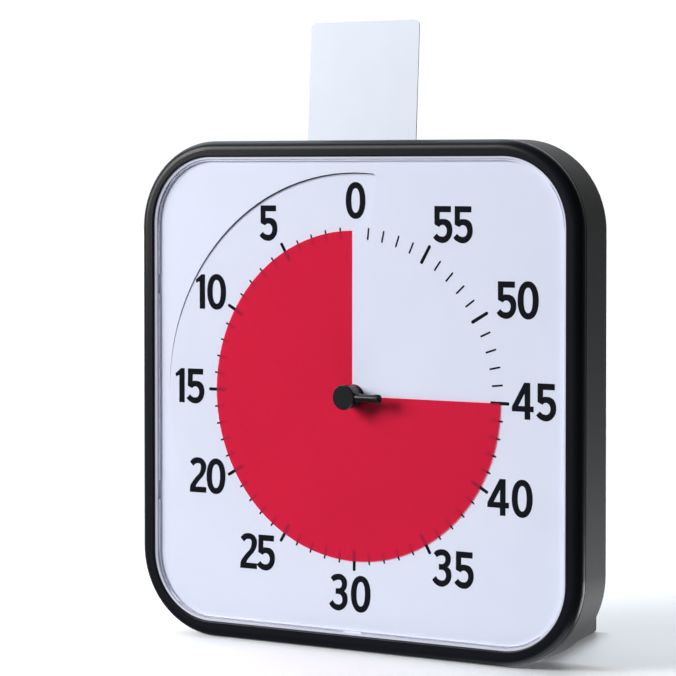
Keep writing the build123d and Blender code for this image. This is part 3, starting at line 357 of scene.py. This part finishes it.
@dataclass(frozen=True)
class TintedFilm:
    """Coloured film that lets some light through, so that print under it shows dimly.

    Light crosses both faces of the film, so each face passes its share once.
    """

    name: str
    colour: Colour
    tint: Colour
    passed: float
    blotch: float = 60 * MM
    grain: float = 0.25 * MM
    tones: Span = (0.98, 1.02)
    gloss: Span = (0.64, 0.76)
    specular: float = 0.05

    def make(self) -> bpy.types.Material:
        """Build the material.

        Returns:
            The material.
        """
        recipe = Recipe(self.name)
        cloud = recipe.noise(self.blotch, detail=3.0)
        dark, light = (shaded(self.colour, share) for share in self.tones)
        tone = recipe.two_tone(cloud, dark, light)
        recipe.wire(tone, "Color", recipe.shader, "Base Color")
        grain = recipe.noise(self.grain)
        gloss = recipe.spread(grain, "Fac", *self.gloss)
        recipe.wire(gloss, "Result", recipe.shader, "Roughness")
        recipe.shader.inputs["Specular IOR Level"].default_value = self.specular
        through = recipe.add("ShaderNodeBsdfTransparent")
        through.inputs["Color"].default_value = (*self.tint, 1)
        blend = recipe.add("ShaderNodeMixShader")
        blend.inputs["Fac"].default_value = self.passed
        recipe.wire(recipe.shader, "BSDF", blend, 1)
        recipe.wire(through, "BSDF", blend, 2)
        recipe.wire(blend, "Shader", recipe.output, "Surface")
        return recipe.material


@dataclass(frozen=True)
class PaintedGlowEdge:
    """Cut edge of clear sheet with a painted glow: it emits light of its own colour, though it is no lamp,
    to stand in for the light the edge would gather.
    """

    name: str
    colour: Colour
    glow: float
    scratch: float = 0.8 * MM
    tones: Span = (0.97, 1.03)
    gloss: Span = (0.3, 0.4)

    def make(self) -> bpy.types.Material:
        """Build the material.

        Returns:
            The material.
        """
        recipe = Recipe(self.name)
        scratch = recipe.noise(self.scratch)
        dark, light = (shaded(self.colour, share) for share in self.tones)
        tone = recipe.two_tone(scratch, dark, light)
        recipe.wire(tone, "Color", recipe.shader, "Base Color")
        gloss = recipe.spread(scratch, "Fac", *self.gloss)
        recipe.wire(gloss, "Result", recipe.shader, "Roughness")
        # Painted glow: the edge emits its own colour, though it is no lamp, to stay bright where the bezel
        # shades it.
        recipe.shader.inputs["Emission Color"].default_value = (*self.colour, 1)
        recipe.shader.inputs["Emission Strength"].default_value = self.glow
        return recipe.material


@dataclass(frozen=True)
class CellJacket:
    """Plain battery jacket with a brass-coloured band at its positive end."""

    name: str
    jacket: Colour
    band: Colour
    band_from: float
    scuff: float = 3 * MM
    gloss: Span = (0.22, 0.4)
    metallic: float = 0.7

    def make(self) -> bpy.types.Material:
        """Build the material.

        Returns:
            The material.
        """
        recipe = Recipe(self.name)
        split = recipe.add("ShaderNodeSeparateXYZ")
        recipe.wire(recipe.place, "Object", split, "Vector")
        step = recipe.add("ShaderNodeMath", operation="GREATER_THAN")
        step.inputs[1].default_value = self.band_from
        recipe.wire(split, "X", step, "Value")
        ramp = recipe.add("ShaderNodeValToRGB")
        ramp.color_ramp.elements[0].color = (*self.jacket, 1)
        ramp.color_ramp.elements[1].color = (*self.band, 1)
        recipe.wire(step, "Value", ramp, "Fac")
        recipe.wire(ramp, "Color", recipe.shader, "Base Color")
        scuff = recipe.noise(self.scuff)
        gloss = recipe.spread(scuff, "Fac", *self.gloss)
        recipe.wire(gloss, "Result", recipe.shader, "Roughness")
        recipe.shader.inputs["Metallic"].default_value = self.metallic
        return recipe.material


Finish = Moulding | Metal | Winding | ClearSheet | TintedFilm | PaintedGlowEdge | CellJacket

BEZEL_BLACK = Moulding(
    "bezel satin black", (0.0065, 0.0072, 0.0105), 0.30, 0.35 * MM, 0.002 * MM, specular=0.14
)
CASE_BLACK = Moulding(
    "case grained black", (0.012, 0.012, 0.0135), 0.6, 0.6 * MM, 0.02 * MM, specular=0.35
)
DIAL_WHITE = Moulding(
    "dial printed white", (0.785, 0.83, 0.953), 0.7, 0.2 * MM, 0.001 * MM, 0.008, 30 * MM, 0.2
)
FRAME_WHITE = Moulding("frame moulded white", (0.76, 0.78, 0.88), 0.4, 0.4 * MM, 0.003 * MM, 0.02)
DISC_RED = TintedFilm("disc red film", (0.90, 0.05, 0.19), (1.0, 0.05, 0.12), 0.73)
# Painted glow for the lens edge: emission that brightens it as light would, not a lamp.
LENS_EDGE_PAINTED_GLOW = PaintedGlowEdge("lens edge painted glow", (0.35, 0.36, 0.43), 0.85)
INK_BLACK = Moulding(
    "dial black ink", (0.004, 0.005, 0.009), 0.8, 0.2 * MM, 0.001 * MM, 0.04, 8 * MM, 0.05
)
KNOB_BLACK = Moulding(
    "knob smooth black", (0.006, 0.0065, 0.009), 0.3, 0.3 * MM, 0.002 * MM, specular=0.25
)
TIP_BLACK = Moulding(
    "lever tip rubber", (0.007, 0.007, 0.008), 0.5, 0.4 * MM, 0.008 * MM, specular=0.2
)
CARD_WHITE = Moulding("card glossy white", (0.74, 0.79, 0.89), 0.18, 1.2 * MM, 0.002 * MM, 0.01)
PAD_RUBBER = Moulding("foot pad rubber", (0.03, 0.03, 0.03), 0.8, 0.5 * MM, 0.03 * MM)
HOUSING_BLACK = Moulding("movement black", (0.02, 0.02, 0.022), 0.5)
PLATE_GREY = Moulding("movement plate grey", (0.25, 0.26, 0.28), 0.55)
GEAR_NATURAL = Moulding("gear natural acetal", (0.72, 0.70, 0.62), 0.4, 0.5 * MM, 0.004 * MM)
SWITCH_GREY = Moulding("switch grey", (0.18, 0.18, 0.2), 0.5)
CHIP_BLACK = Moulding("chip epoxy", (0.012, 0.012, 0.013), 0.55, 0.15 * MM)
BOARD_GREEN = Moulding("board solder mask", (0.01, 0.12, 0.04), 0.25, 1.0 * MM, 0.004 * MM, 0.15, 4 * MM)
MAGNET_GREY = Moulding("sintered magnet", (0.06, 0.06, 0.065), 0.45, 0.2 * MM)
STEEL = Metal("bright steel", (0.62, 0.62, 0.63), 0.25)
SPRING_STEEL = Metal("spring steel", (0.5, 0.5, 0.52), 0.32, (12, 1, 1))
SOFT_IRON = Metal("soft iron sheet", (0.35, 0.35, 0.37), 0.45, (1, 1, 8))
BRASS = Metal("sounder brass", (0.72, 0.52, 0.22), 0.28)
COPPER = Winding("copper winding", (0.62, 0.24, 0.09))
LENS_CLEAR = ClearSheet("clear lens", (0.985, 0.985, 0.995))
CELL = CellJacket("battery jacket", (0.05, 0.06, 0.09), (0.65, 0.38, 0.14), 14 * MM)

NODE_FINISH: dict[str, Finish] = {
    "front_bezel": BEZEL_BLACK,
    "lens_cover": LENS_CLEAR,
    "dial_frame": FRAME_WHITE,
    "dial_plate": DIAL_WHITE,
    "red_disc": DISC_RED,
    "disc_collar": HOUSING_BLACK,
    "hub_sleeve": HOUSING_BLACK,
    "setting_knob": KNOB_BLACK,
    "lever_tip": TIP_BLACK,
    "arbor": STEEL,
    "arbor_clip": SPRING_STEEL,
    "clutch_spring": SPRING_STEEL,
    "alarm_cam": GEAR_NATURAL,
    "centre_wheel": GEAR_NATURAL,
    "third_wheel": GEAR_NATURAL,
    "rotor_pinion": GEAR_NATURAL,
    "rotor_magnet": MAGNET_GREY,
    "stator": SOFT_IRON,
    "coil": COPPER,
    "movement_plate": PLATE_GREY,
    "movement_housing": HOUSING_BLACK,
    "movement_cover": HOUSING_BLACK,
    "plate_screws": STEEL,
    "movement_screws": STEEL,
    "cover_screws": STEEL,
    "circuit_board": BOARD_GREEN,
    "board_chip": CHIP_BLACK,
    "crystal": STEEL,
    "buzzer": BRASS,
    "contact_leaf": SPRING_STEEL,
    "battery_cell": CELL,
    "battery_contact": SPRING_STEEL,
    "battery_spring": SPRING_STEEL,
    "rear_case": CASE_BLACK,
    "case_screws": STEEL,
    "battery_door": CASE_BLACK,
    "sound_switch": SWITCH_GREY,
    "switch_base": CHIP_BLACK,
    "card_pocket": PLATE_GREY,
    "dry_erase_card": CARD_WHITE,
    "foot_right": CASE_BLACK,
    "foot_left": CASE_BLACK,
    "foot_pad_right": PAD_RUBBER,
    "foot_pad_left": PAD_RUBBER,
    "foot_pins": STEEL,
}


class FinishShelf:
    """Builds each finish once and hands the material out again."""

    def __init__(self) -> None:
        """Start with no material built."""
        self.built: dict[str, bpy.types.Material] = {}

    def material(self, finish: Finish) -> bpy.types.Material:
        """Build the finish's material at its first use.

        Args:
            finish: the finish.

        Returns:
            Its material.
        """
        if finish.name not in self.built:
            self.built[finish.name] = finish.make()
        return self.built[finish.name]

    def dress(self, piece: bpy.types.Object, finish: Finish) -> None:
        """Give a piece this finish alone."""
        piece.data.materials.clear()
        piece.data.materials.append(self.material(finish))


# ---------------------------------------------------------------- dial printing


@dataclass(frozen=True)
class Point:
    """One point of a glyph's contour, in millimetres, with the pull of its curve on each side."""

    x: float
    y: float
    before: Handle = (0.0, 0.0)
    after: Handle = (0.0, 0.0)


def side(x: float, y: float, pull: float) -> Point:
    """A point where the contour runs up or down: pull is its handles' length, up if positive."""
    return Point(x, y, (0, -pull), (0, pull))


def crown(x: float, y: float, pull: float) -> Point:
    """A point where the contour runs level: pull is its handles' length, right if positive."""
    return Point(x, y, (-pull, 0), (pull, 0))


@dataclass(frozen=True)
class Glyph:
    """A digit: closed contours, its width, and the room it keeps on each side."""

    width: float
    contours: tuple[tuple[Point, ...], ...]
    room: Span = (0.5, 0.5)


GLYPHS = {
    "0": Glyph(
        13.7,
        (
            (
                side(0, 10.6, 6.9),
                crown(6.85, 21.6, 4.0),
                side(13.7, 10.6, -6.9),
                crown(6.85, -0.4, -4.0),
            ),
            (
                side(3.95, 10.6, 4.6),
                crown(6.85, 17.9, 1.8),
                side(9.75, 10.6, -4.6),
                crown(6.85, 3.3, -1.8),
            ),
        ),
        (0.8, 0.8),
    ),
    "1": Glyph(
        6.8,
        (
            (
                Point(6.8, 0),
                Point(2.9, 0),
                Point(2.9, 16.9),
                Point(0.6, 15.9),
                Point(0, 17.8),
                Point(4.3, 21.2),
                Point(6.8, 21.2),
            ),
        ),
        (0.5, 0.8),
    ),
    "2": Glyph(
        12.1,
        (
            (
                Point(0, 0),
                Point(0.3, 3.6, (0, 0), (0.5, 1.6)),
                Point(6.3, 11.2, (-2.6, -2.3), (1.4, 1.3)),
                side(8.0, 15.9, 1.5),
                crown(5.9, 18.0, -1.6),
                Point(2.6, 16.1, (0.9, 1.2), (0, 0)),
                Point(0.1, 18.5, (0, 0), (1.3, 1.9)),
                crown(6.1, 21.6, 3.5),
                side(11.9, 16.2, -2.6),
                Point(9.5, 10.0, (1.4, 1.9), (-2.0, -2.2)),
                Point(4.4, 3.5, (0.5, 2.0), (0, 0)),
                Point(12.1, 3.5),
                Point(12.1, 0),
            ),
        ),
        (0.6, -0.7),
    ),
    "3": Glyph(
        12.9,
        (
            (
                Point(0.8, 18.9, (0, 0), (1.3, 1.7)),
                crown(6.9, 21.6, 3.4),
                side(12.4, 16.4, -2.4),
                Point(10.4, 11.4, (1.2, 1.2), (1.7, -1.1)),
                side(12.9, 6.2, -3.9),
                crown(6.3, -0.4, -2.7),
                Point(0, 3.4, (0.9, -2.1), (0, 0)),
                Point(2.5, 5.7, (0, 0), (0.9, -1.5)),
                crown(6.3, 3.3, 1.9),
                side(9.2, 6.2, 1.9),
                Point(6.4, 9.5, (1.8, 0), (0, 0)),
                Point(4.4, 9.5),
                Point(4.4, 12.9),
                Point(6.3, 12.9, (0, 0), (1.6, 0)),
                side(8.7, 15.7, 1.4),
                crown(6.7, 18.0, -1.4),
                Point(2.9, 16.6, (0.9, 0.9), (0, 0)),
            ),
        ),
        (0.5, 1.4),
    ),
    "4": Glyph(
        14.2,
        (
            (
                Point(12.0, 21.2),
                Point(12.0, 7.7),
                Point(14.2, 7.7),
                Point(14.2, 4.4),
                Point(12.0, 4.4),
                Point(12.0, 0),
                Point(8.3, 0),
                Point(8.3, 4.4),
                Point(0, 4.4),
                Point(0, 7.1),
                Point(8.0, 21.2),
            ),
            (Point(8.3, 7.7), Point(8.3, 14.9), Point(4.2, 7.7)),
        ),
        (0.6, 1.0),
    ),
    "5": Glyph(
        12.9,
        (
            (
                Point(12.0, 21.2),
                Point(12.0, 17.6),
                Point(4.5, 17.6),
                Point(4.4, 13.0, (0, 0), (0.7, 0.5)),
                crown(6.9, 13.7, 3.9),
                side(12.9, 7.0, -4.6),
                crown(6.4, -0.4, -2.9),
                Point(0, 2.9, (1.0, -1.7), (0, 0)),
                Point(2.5, 5.2, (0, 0), (1.0, -1.2)),
                crown(6.3, 3.4, 1.9),
                side(9.2, 7.0, 2.1),
                crown(6.4, 10.2, -1.0),
                Point(4.0, 9.0, (0.7, 0.7), (0, 0)),
                Point(0.9, 10.4),
                Point(0.9, 21.2),
            ),
        ),
        (0.6, 0.0),
    ),
}


@dataclass(frozen=True)
class DialNumber:
    """A printed number and the middle of its box from the dial's axis, in millimetres."""

    label: str
    x: float
    z: float


DIAL_NUMBERS = (
    DialNumber("0", 0.3, 116.4),
    DialNumber("5", -61.1, 102.5),
    DialNumber("10", -102.9, 59.8),
    DialNumber("15", -118.4, 1.5),
    DialNumber("20", -105.2, -53.6),
    DialNumber("25", -68.4, -97.9),
    DialNumber("30", -2.7, -117.9),
    DialNumber("35", 67.6, -98.0),
    DialNumber("40", 105.0, -54.1),
    DialNumber("45", 120.4, 2.1),
    DialNumber("50", 109.8, 59.9),
    DialNumber("55", 67.4, 102.9),
)


class MarkKind(Enum):
    """The two kinds of marks round the dial, by the names of their pieces."""

    FIVE_MINUTES = "five_minute_marks"
    MINUTES = "minute_marks"


@dataclass(frozen=True)
class MarkRing:
    """A ring of round-ended marks: where they stand, counted anticlockwise from the top, and their size."""

    kind: MarkKind
    minutes: tuple[int, ...]
    radii: Span
    width: float


MARK_RINGS = (
    MarkRing(MarkKind.FIVE_MINUTES, tuple(range(5, 60, 5)), (91.9 * MM, 104.5 * MM), 2.1 * MM),
    MarkRing(
        MarkKind.MINUTES,
        tuple(minute for minute in range(60) if minute % 5),
        (93.5 * MM, 100.8 * MM),
        1.15 * MM,
    ),
)


@dataclass
class DialPrint:
    """Numbers and minute marks printed on the dial plate, which they follow over its ramp."""

    shelf: FinishShelf
    lift: float = 0.05 * MM
    ink: float = 0.04 * MM
    facet: float = 3.0 * MM
    beside: float = 0.03 * MM
    stand_off: float = 10 * MM
    digit_middle: float = 10.6
    digit_smoothness: int = 10
    mark_segments: int = 16
    pieces: list[bpy.types.Object] = field(default_factory=list)

    def __post_init__(self) -> None:
        """Read the dial plate's surface once."""
        graph = bpy.context.evaluated_depsgraph_get()
        self.dial = BVHTree.FromObject(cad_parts["dial_plate"], graph)
        low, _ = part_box("dial_plate")
        self.before = low.y - self.stand_off

    def build(self) -> None:
        """Make every number and both rings of marks."""
        for number in DIAL_NUMBERS:
            self.print_number(number)
        for ring in MARK_RINGS:
            self.print_marks(ring)

    def print_number(self, number: DialNumber) -> None:
        """Set a number's digits side by side and print them.

        Args:
            number: the number and its place.
        """
        glyphs = [GLYPHS[digit] for digit in number.label]
        gaps = [left.room[1] + right.room[0] for left, right in zip(glyphs, glyphs[1:])]
        width = sum(glyph.width for glyph in glyphs) + sum(gaps)
        start = number.x - width / 2
        curve = bpy.data.curves.new("digits", "CURVE")
        curve.dimensions = "2D"
        curve.fill_mode = "BOTH"
        curve.resolution_u = self.digit_smoothness
        for glyph, gap in zip(glyphs, [*gaps, 0]):
            for contour in glyph.contours:
                self.add_contour(curve, contour, start, number.z - self.digit_middle)
            start += glyph.width + gap
        flat = bpy.data.objects.new("digits", curve)
        bpy.context.scene.collection.objects.link(flat)
        graph = bpy.context.evaluated_depsgraph_get()
        mesh = bpy.data.meshes.new_from_object(flat.evaluated_get(graph))
        bpy.data.objects.remove(flat)
        work = bmesh.new()
        work.from_mesh(mesh)
        bpy.data.meshes.remove(mesh)
        stand_up(work)
        self.print_flat(work, f"number_{number.label}")

    def add_contour(
        self, curve: bpy.types.Curve, contour: tuple[Point, ...], x: float, y: float
    ) -> None:
        """Add one closed contour of a digit to a curve.

        Args:
            curve: the flat curve that takes it.
            contour: the contour's points.
            x: place of the digit's left edge, in millimetres.
            y: place of its foot, in millimetres.
        """
        spline = curve.splines.new("BEZIER")
        spline.bezier_points.add(len(contour) - 1)
        spline.use_cyclic_u = True
        for knot, point in zip(spline.bezier_points, contour):
            middle = Vector((point.x + x, point.y + y, 0))
            knot.handle_left_type = knot.handle_right_type = "FREE"
            knot.co = middle * MM
            knot.handle_left = (middle + Vector((*point.before, 0))) * MM
            knot.handle_right = (middle + Vector((*point.after, 0))) * MM

    def print_marks(self, ring: MarkRing) -> None:
        """Print a ring of round-ended radial marks as one piece.

        Args:
            ring: the ring.
        """
        inner, outer = ring.radii
        work = bmesh.new()
        for minute in ring.minutes:
            made = bmesh.ops.create_circle(
                work, cap_ends=True, segments=self.mark_segments, radius=ring.width / 2
            )
            upper = [vert for vert in made["verts"] if vert.co.y > 0]
            lower = [vert for vert in made["verts"] if vert.co.y <= 0]
            bmesh.ops.translate(work, verts=upper, vec=(0, outer - ring.width / 2, 0))
            bmesh.ops.translate(work, verts=lower, vec=(0, inner + ring.width / 2, 0))
            turn = Matrix.Rotation(math.radians(DEGREES_PER_MINUTE * minute), 3, "Z")
            bmesh.ops.rotate(work, verts=made["verts"], matrix=turn)
        stand_up(work)
        self.print_flat(work, ring.kind.value)

    def dial_face(self, x: float, z: float) -> float:
        """Read the depth of the dial's face, as the nearer of two readings beside a place.

        Args:
            x: the place's distance right of the axis, in metres.
            z: its height, in metres.

        Returns:
            The face's Y.
        """
        readings = []
        for shift in (-self.beside, self.beside):
            start = Vector((x + shift, self.before, z))
            readings.append(self.dial.ray_cast(start, Vector((0, 1, 0)))[0].y)
        return min(readings)

    def print_flat(self, work: bmesh.types.BMesh, name: str) -> None:
        """Cut a flat print into facets, lay it on the dial and give it its thickness of ink.

        Args:
            work: the flat print, in its place in front of the dial.
            name: name of the finished piece.
        """
        for axis in (Vector((1, 0, 0)), Vector((0, 0, 1))):
            reach = [vert.co.dot(axis) for vert in work.verts]
            cut = math.floor(min(reach) / self.facet) + 1
            while cut * self.facet < max(reach):
                everything = work.verts[:] + work.edges[:] + work.faces[:]
                bmesh.ops.bisect_plane(
                    work, geom=everything, plane_co=axis * (cut * self.facet), plane_no=axis
                )
                cut += 1
        bmesh.ops.remove_doubles(work, verts=work.verts, dist=WELD)
        bmesh.ops.recalc_face_normals(work, faces=work.faces)
        for face in work.faces:
            if face.normal.y > 0:
                face.normal_flip()
        for vert in work.verts:
            vert.co.y = self.dial_face(vert.co.x, vert.co.z) - self.lift
        bmesh.ops.solidify(work, geom=work.faces[:], thickness=self.ink)
        piece = place_mesh(name, work)
        self.shelf.dress(piece, INK_BLACK)
        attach(piece, "case")
        self.pieces.append(piece)


# ---------------------------------------------------------------- case


@dataclass
class Case:
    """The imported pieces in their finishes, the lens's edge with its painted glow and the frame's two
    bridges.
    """

    shelf: FinishShelf
    lens_y: float = -17.0 * MM
    opening: float = 284.7 * MM
    opening_r: float = 41.0 * MM
    corner_segments: int = 24
    edge_width: float = 1.15 * MM
    edge_rise: float = 0.03 * MM
    edge_depth: float = 1.22 * MM
    ledge_width: float = 2.4 * MM
    ledge_y: Span = (-15.83 * MM, -14.35 * MM)
    bridge_length: float = 12.6 * MM

    def dress(self) -> None:
        """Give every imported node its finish."""
        for name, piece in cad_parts.items():
            self.shelf.dress(piece, NODE_FINISH[name])

    def edge_lens(self) -> bpy.types.Object:
        """Make the bevelled edge that runs round the lens just inside the bezel, whose finish carries a
        painted glow.

        Returns:
            The finished piece.
        """
        work = bmesh.new()
        bmesh.ops.create_grid(work, x_segments=1, y_segments=1, size=self.opening / 2)
        bmesh.ops.bevel(
            work,
            geom=work.verts[:],
            offset=self.opening_r,
            affect="VERTICES",
            segments=self.corner_segments,
            profile=0.5,
            material=-1,
        )
        stand_up(work, self.lens_y - self.edge_rise)
        middle = work.faces[:]
        bmesh.ops.inset_region(
            work, faces=middle, thickness=self.edge_width, use_boundary=True, use_even_offset=True
        )
        bmesh.ops.delete(work, geom=middle, context="FACES")
        bmesh.ops.recalc_face_normals(work, faces=work.faces)
        bmesh.ops.solidify(work, geom=work.faces[:], thickness=self.edge_depth)
        piece = place_mesh("lens_edge_painted_glow", work)
        self.shelf.dress(piece, LENS_EDGE_PAINTED_GLOW)
        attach(piece, "case")
        return piece

    def bridge_frame(self) -> bpy.types.Object:
        """Make the two bridges that close the dial frame's notches at the top and the bottom.

        Returns:
            The finished piece.
        """
        front, back = self.ledge_y
        size = (self.bridge_length, back - front, self.ledge_width)
        reach = (self.opening - self.ledge_width) / 2
        work = bmesh.new()
        for height in (AXIS_Z - reach, AXIS_Z + reach):
            made = bmesh.ops.create_cube(work, size=1.0)
            bmesh.ops.scale(work, verts=made["verts"], vec=size)
            place = (0, (front + back) / 2, height)
            bmesh.ops.translate(work, verts=made["verts"], vec=place)
        piece = place_mesh("frame_bridges", work)
        self.shelf.dress(piece, FRAME_WHITE)
        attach(piece, "case")
        return piece


# ---------------------------------------------------------------- studio


@dataclass(frozen=True)
class Softbox:
    """A square lamp that faces the timer: its middle, side, power in watts and colour."""

    name: str
    place: Place
    size: float
    power: float
    colour: Colour


SOFTBOXES = (
    Softbox("side softbox", (-1.25, -0.95, 0.65), 0.8, 23.0, (1.0, 0.99, 0.98)),
    Softbox("overhead softbox", (-0.9, 0.15, 1.5), 1.0, 12.5, (0.80, 0.90, 1.0)),
    Softbox("floor bounce", (0.14, -0.02, -0.35), 0.5, 2.2, (0.9, 0.95, 1.0)),
    Softbox("low fill", (0.40, 0.36, -0.12), 0.2, 1.5, (0.95, 0.97, 1.0)),
)


@dataclass(frozen=True)
class Viewpoint:
    """Where the camera stands and what its lens takes in; angles in degrees."""

    place: Place = (0.8323, -1.39257, 0.28536)
    turn: float = 31.4527
    downward: float = 1.6352
    sensor: float = 36.0
    lens: float = 144.474
    shift: float = -0.1307
    clip: Span = (0.1, 50.0)


@dataclass
class Studio:
    """Pale table top in a white room, soft lights and the camera.

    The table and the room are only seen: the lights below do what they would throw back.
    Powers are in watts, the sun's in watts per square metre, and angles in degrees.
    """

    view: Viewpoint = Viewpoint()
    middle: Place = (0, 0, 0.15)
    floor_reach: float = 13.0
    room_reach: float = 12.0
    floor_colour: Colour = (0.93, 0.95, 0.98)
    floor_roughness: float = 0.45
    floor_specular: float = 0.3
    floor_glow: float = 0.06
    far_glow: float = 0.45
    glow_from: float = 0.6
    glow_to: float = 3.0
    room_glow: float = 1.1
    back_light: float = 1.5
    back_rise: float = 15.0
    front_light: float = 0.10
    back_edges: Span = (0.5, 0.85)
    sky_colour: Colour = (0.97, 0.985, 1.0)
    sun_from: Place = (-0.58, -0.68, 0.42)
    sun_colour: Colour = (1.0, 0.99, 0.98)
    sun_power: float = 1.9
    sun_spread: float = 26.0

    def build(self) -> None:
        """Set up everything round the timer."""
        self.lay_floor()
        self.raise_room()
        self.light_world()
        self.raise_sun()
        for softbox in SOFTBOXES:
            self.hang(softbox)
        self.place_camera()

    def lay_floor(self) -> None:
        """Lay a slightly glossy table top under the timer."""
        work = bmesh.new()
        bmesh.ops.create_grid(work, x_segments=1, y_segments=1, size=self.floor_reach)
        floor = self.set_stage("floor", work)
        recipe = Recipe("pale floor")
        recipe.shader.inputs["Base Color"].default_value = (*self.floor_colour, 1)
        recipe.shader.inputs["Roughness"].default_value = self.floor_roughness
        recipe.shader.inputs["Specular IOR Level"].default_value = self.floor_specular
        recipe.shader.inputs["Emission Color"].default_value = (*self.floor_colour, 1)
        distance = recipe.add("ShaderNodeVectorMath", operation="LENGTH")
        recipe.wire(recipe.place, "Object", distance, "Vector")
        glow = recipe.add("ShaderNodeMapRange", interpolation_type="SMOOTHSTEP")
        glow.inputs["From Min"].default_value = self.glow_from
        glow.inputs["From Max"].default_value = self.glow_to
        glow.inputs["To Min"].default_value = self.floor_glow
        glow.inputs["To Max"].default_value = self.far_glow
        recipe.wire(distance, "Value", glow, "Value")
        recipe.wire(glow, "Result", recipe.shader, "Emission Strength")
        floor.data.materials.append(recipe.material)

    def raise_room(self) -> None:
        """Close the room round the table with an evenly lit white wall."""
        work = bmesh.new()
        bmesh.ops.create_icosphere(work, subdivisions=4, radius=self.room_reach)
        room = self.set_stage("room", work)
        recipe = Recipe("white room")
        recipe.shader.inputs["Base Color"].default_value = (0, 0, 0, 1)
        recipe.shader.inputs["Specular IOR Level"].default_value = 0.0
        recipe.shader.inputs["Emission Color"].default_value = (*self.floor_colour, 1)
        recipe.shader.inputs["Emission Strength"].default_value = self.room_glow
        room.data.materials.append(recipe.material)

    def set_stage(self, name: str, work: bmesh.types.BMesh) -> bpy.types.Object:
        """Make a stage piece that is seen but neither lights, mirrors nor shades the timer.

        Args:
            name: name of the piece.
            work: its mesh.

        Returns:
            The piece.
        """
        piece = place_mesh(name, work)
        piece.visible_diffuse = piece.visible_glossy = piece.visible_shadow = False
        return piece

    def light_world(self) -> None:
        """Light the timer strongly from behind and dimly from everywhere else."""
        world = bpy.data.worlds.new("studio")
        bpy.context.scene.world = world
        world.use_nodes = True
        tree = world.node_tree
        tree.nodes.clear()
        output = tree.nodes.new("ShaderNodeOutputWorld")
        background = tree.nodes.new("ShaderNodeBackground")
        place = tree.nodes.new("ShaderNodeTexCoord")
        along = tree.nodes.new("ShaderNodeVectorMath")
        along.operation = "DOT_PRODUCT"
        turn, rise = math.radians(self.view.turn), math.radians(self.back_rise)
        level = math.cos(rise)
        brightest = (-math.sin(turn) * level, math.cos(turn) * level, math.sin(rise))
        along.inputs[1].default_value = brightest
        span = tree.nodes.new("ShaderNodeMapRange")
        span.inputs["From Min"].default_value = self.back_edges[0]
        span.inputs["From Max"].default_value = self.back_edges[1]
        span.inputs["To Min"].default_value = self.front_light
        span.inputs["To Max"].default_value = self.back_light
        tree.links.new(place.outputs["Generated"], along.inputs[0])
        tree.links.new(along.outputs["Value"], span.inputs["Value"])
        tree.links.new(span.outputs["Result"], background.inputs["Strength"])
        background.inputs["Color"].default_value = (*self.sky_colour, 1)
        tree.links.new(background.outputs["Background"], output.inputs["Surface"])

    def raise_sun(self) -> None:
        """Light the dial and the floor evenly from the upper left, with soft-edged shadows."""
        sun = bpy.data.lights.new("key", "SUN")
        sun.energy = self.sun_power
        sun.angle = math.radians(self.sun_spread)
        sun.color = self.sun_colour
        stand = bpy.data.objects.new("key", sun)
        aim = -Vector(self.sun_from)
        stand.rotation_euler = aim.to_track_quat("-Z", "Y").to_euler()
        bpy.context.scene.collection.objects.link(stand)

    def hang(self, softbox: Softbox) -> None:
        """Hang a lamp and aim it at the timer's middle.

        Args:
            softbox: the lamp.
        """
        lamp = bpy.data.lights.new(softbox.name, "AREA")
        lamp.shape = "SQUARE"
        lamp.size = softbox.size
        lamp.energy = softbox.power
        lamp.color = softbox.colour
        stand = bpy.data.objects.new(softbox.name, lamp)
        stand.location = softbox.place
        aim = Vector(self.middle) - Vector(softbox.place)
        stand.rotation_euler = aim.to_track_quat("-Z", "Y").to_euler()
        bpy.context.scene.collection.objects.link(stand)

    def place_camera(self) -> None:
        """Stand the camera to the right of the timer, a little above its middle."""
        view = self.view
        lens = bpy.data.cameras.new("camera")
        lens.sensor_width = view.sensor
        lens.lens = view.lens
        lens.shift_y = view.shift
        lens.clip_start, lens.clip_end = view.clip
        camera = bpy.data.objects.new("camera", lens)
        camera.location = view.place
        camera.rotation_euler = (math.radians(90 - view.downward), 0, math.radians(view.turn))
        bpy.context.scene.collection.objects.link(camera)
        bpy.context.scene.camera = camera
        bpy.context.scene.view_settings.view_transform = "Standard"


def main() -> None:
    """Build the timer's looks in order and report each piece."""
    logging.basicConfig(level=logging.INFO, format="%(message)s")
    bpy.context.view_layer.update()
    shelf = FinishShelf()
    case = Case(shelf)
    case.dress()
    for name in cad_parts:
        LOG.info("dressed %s in %s", name, NODE_FINISH[name].name)
    printing = DialPrint(shelf)
    printing.build()
    for piece in (case.edge_lens(), case.bridge_frame(), *printing.pieces):
        LOG.info("made %s with %d faces", piece.name, len(piece.data.polygons))
    Studio().build()


if __name__ == "__main__":
    main()
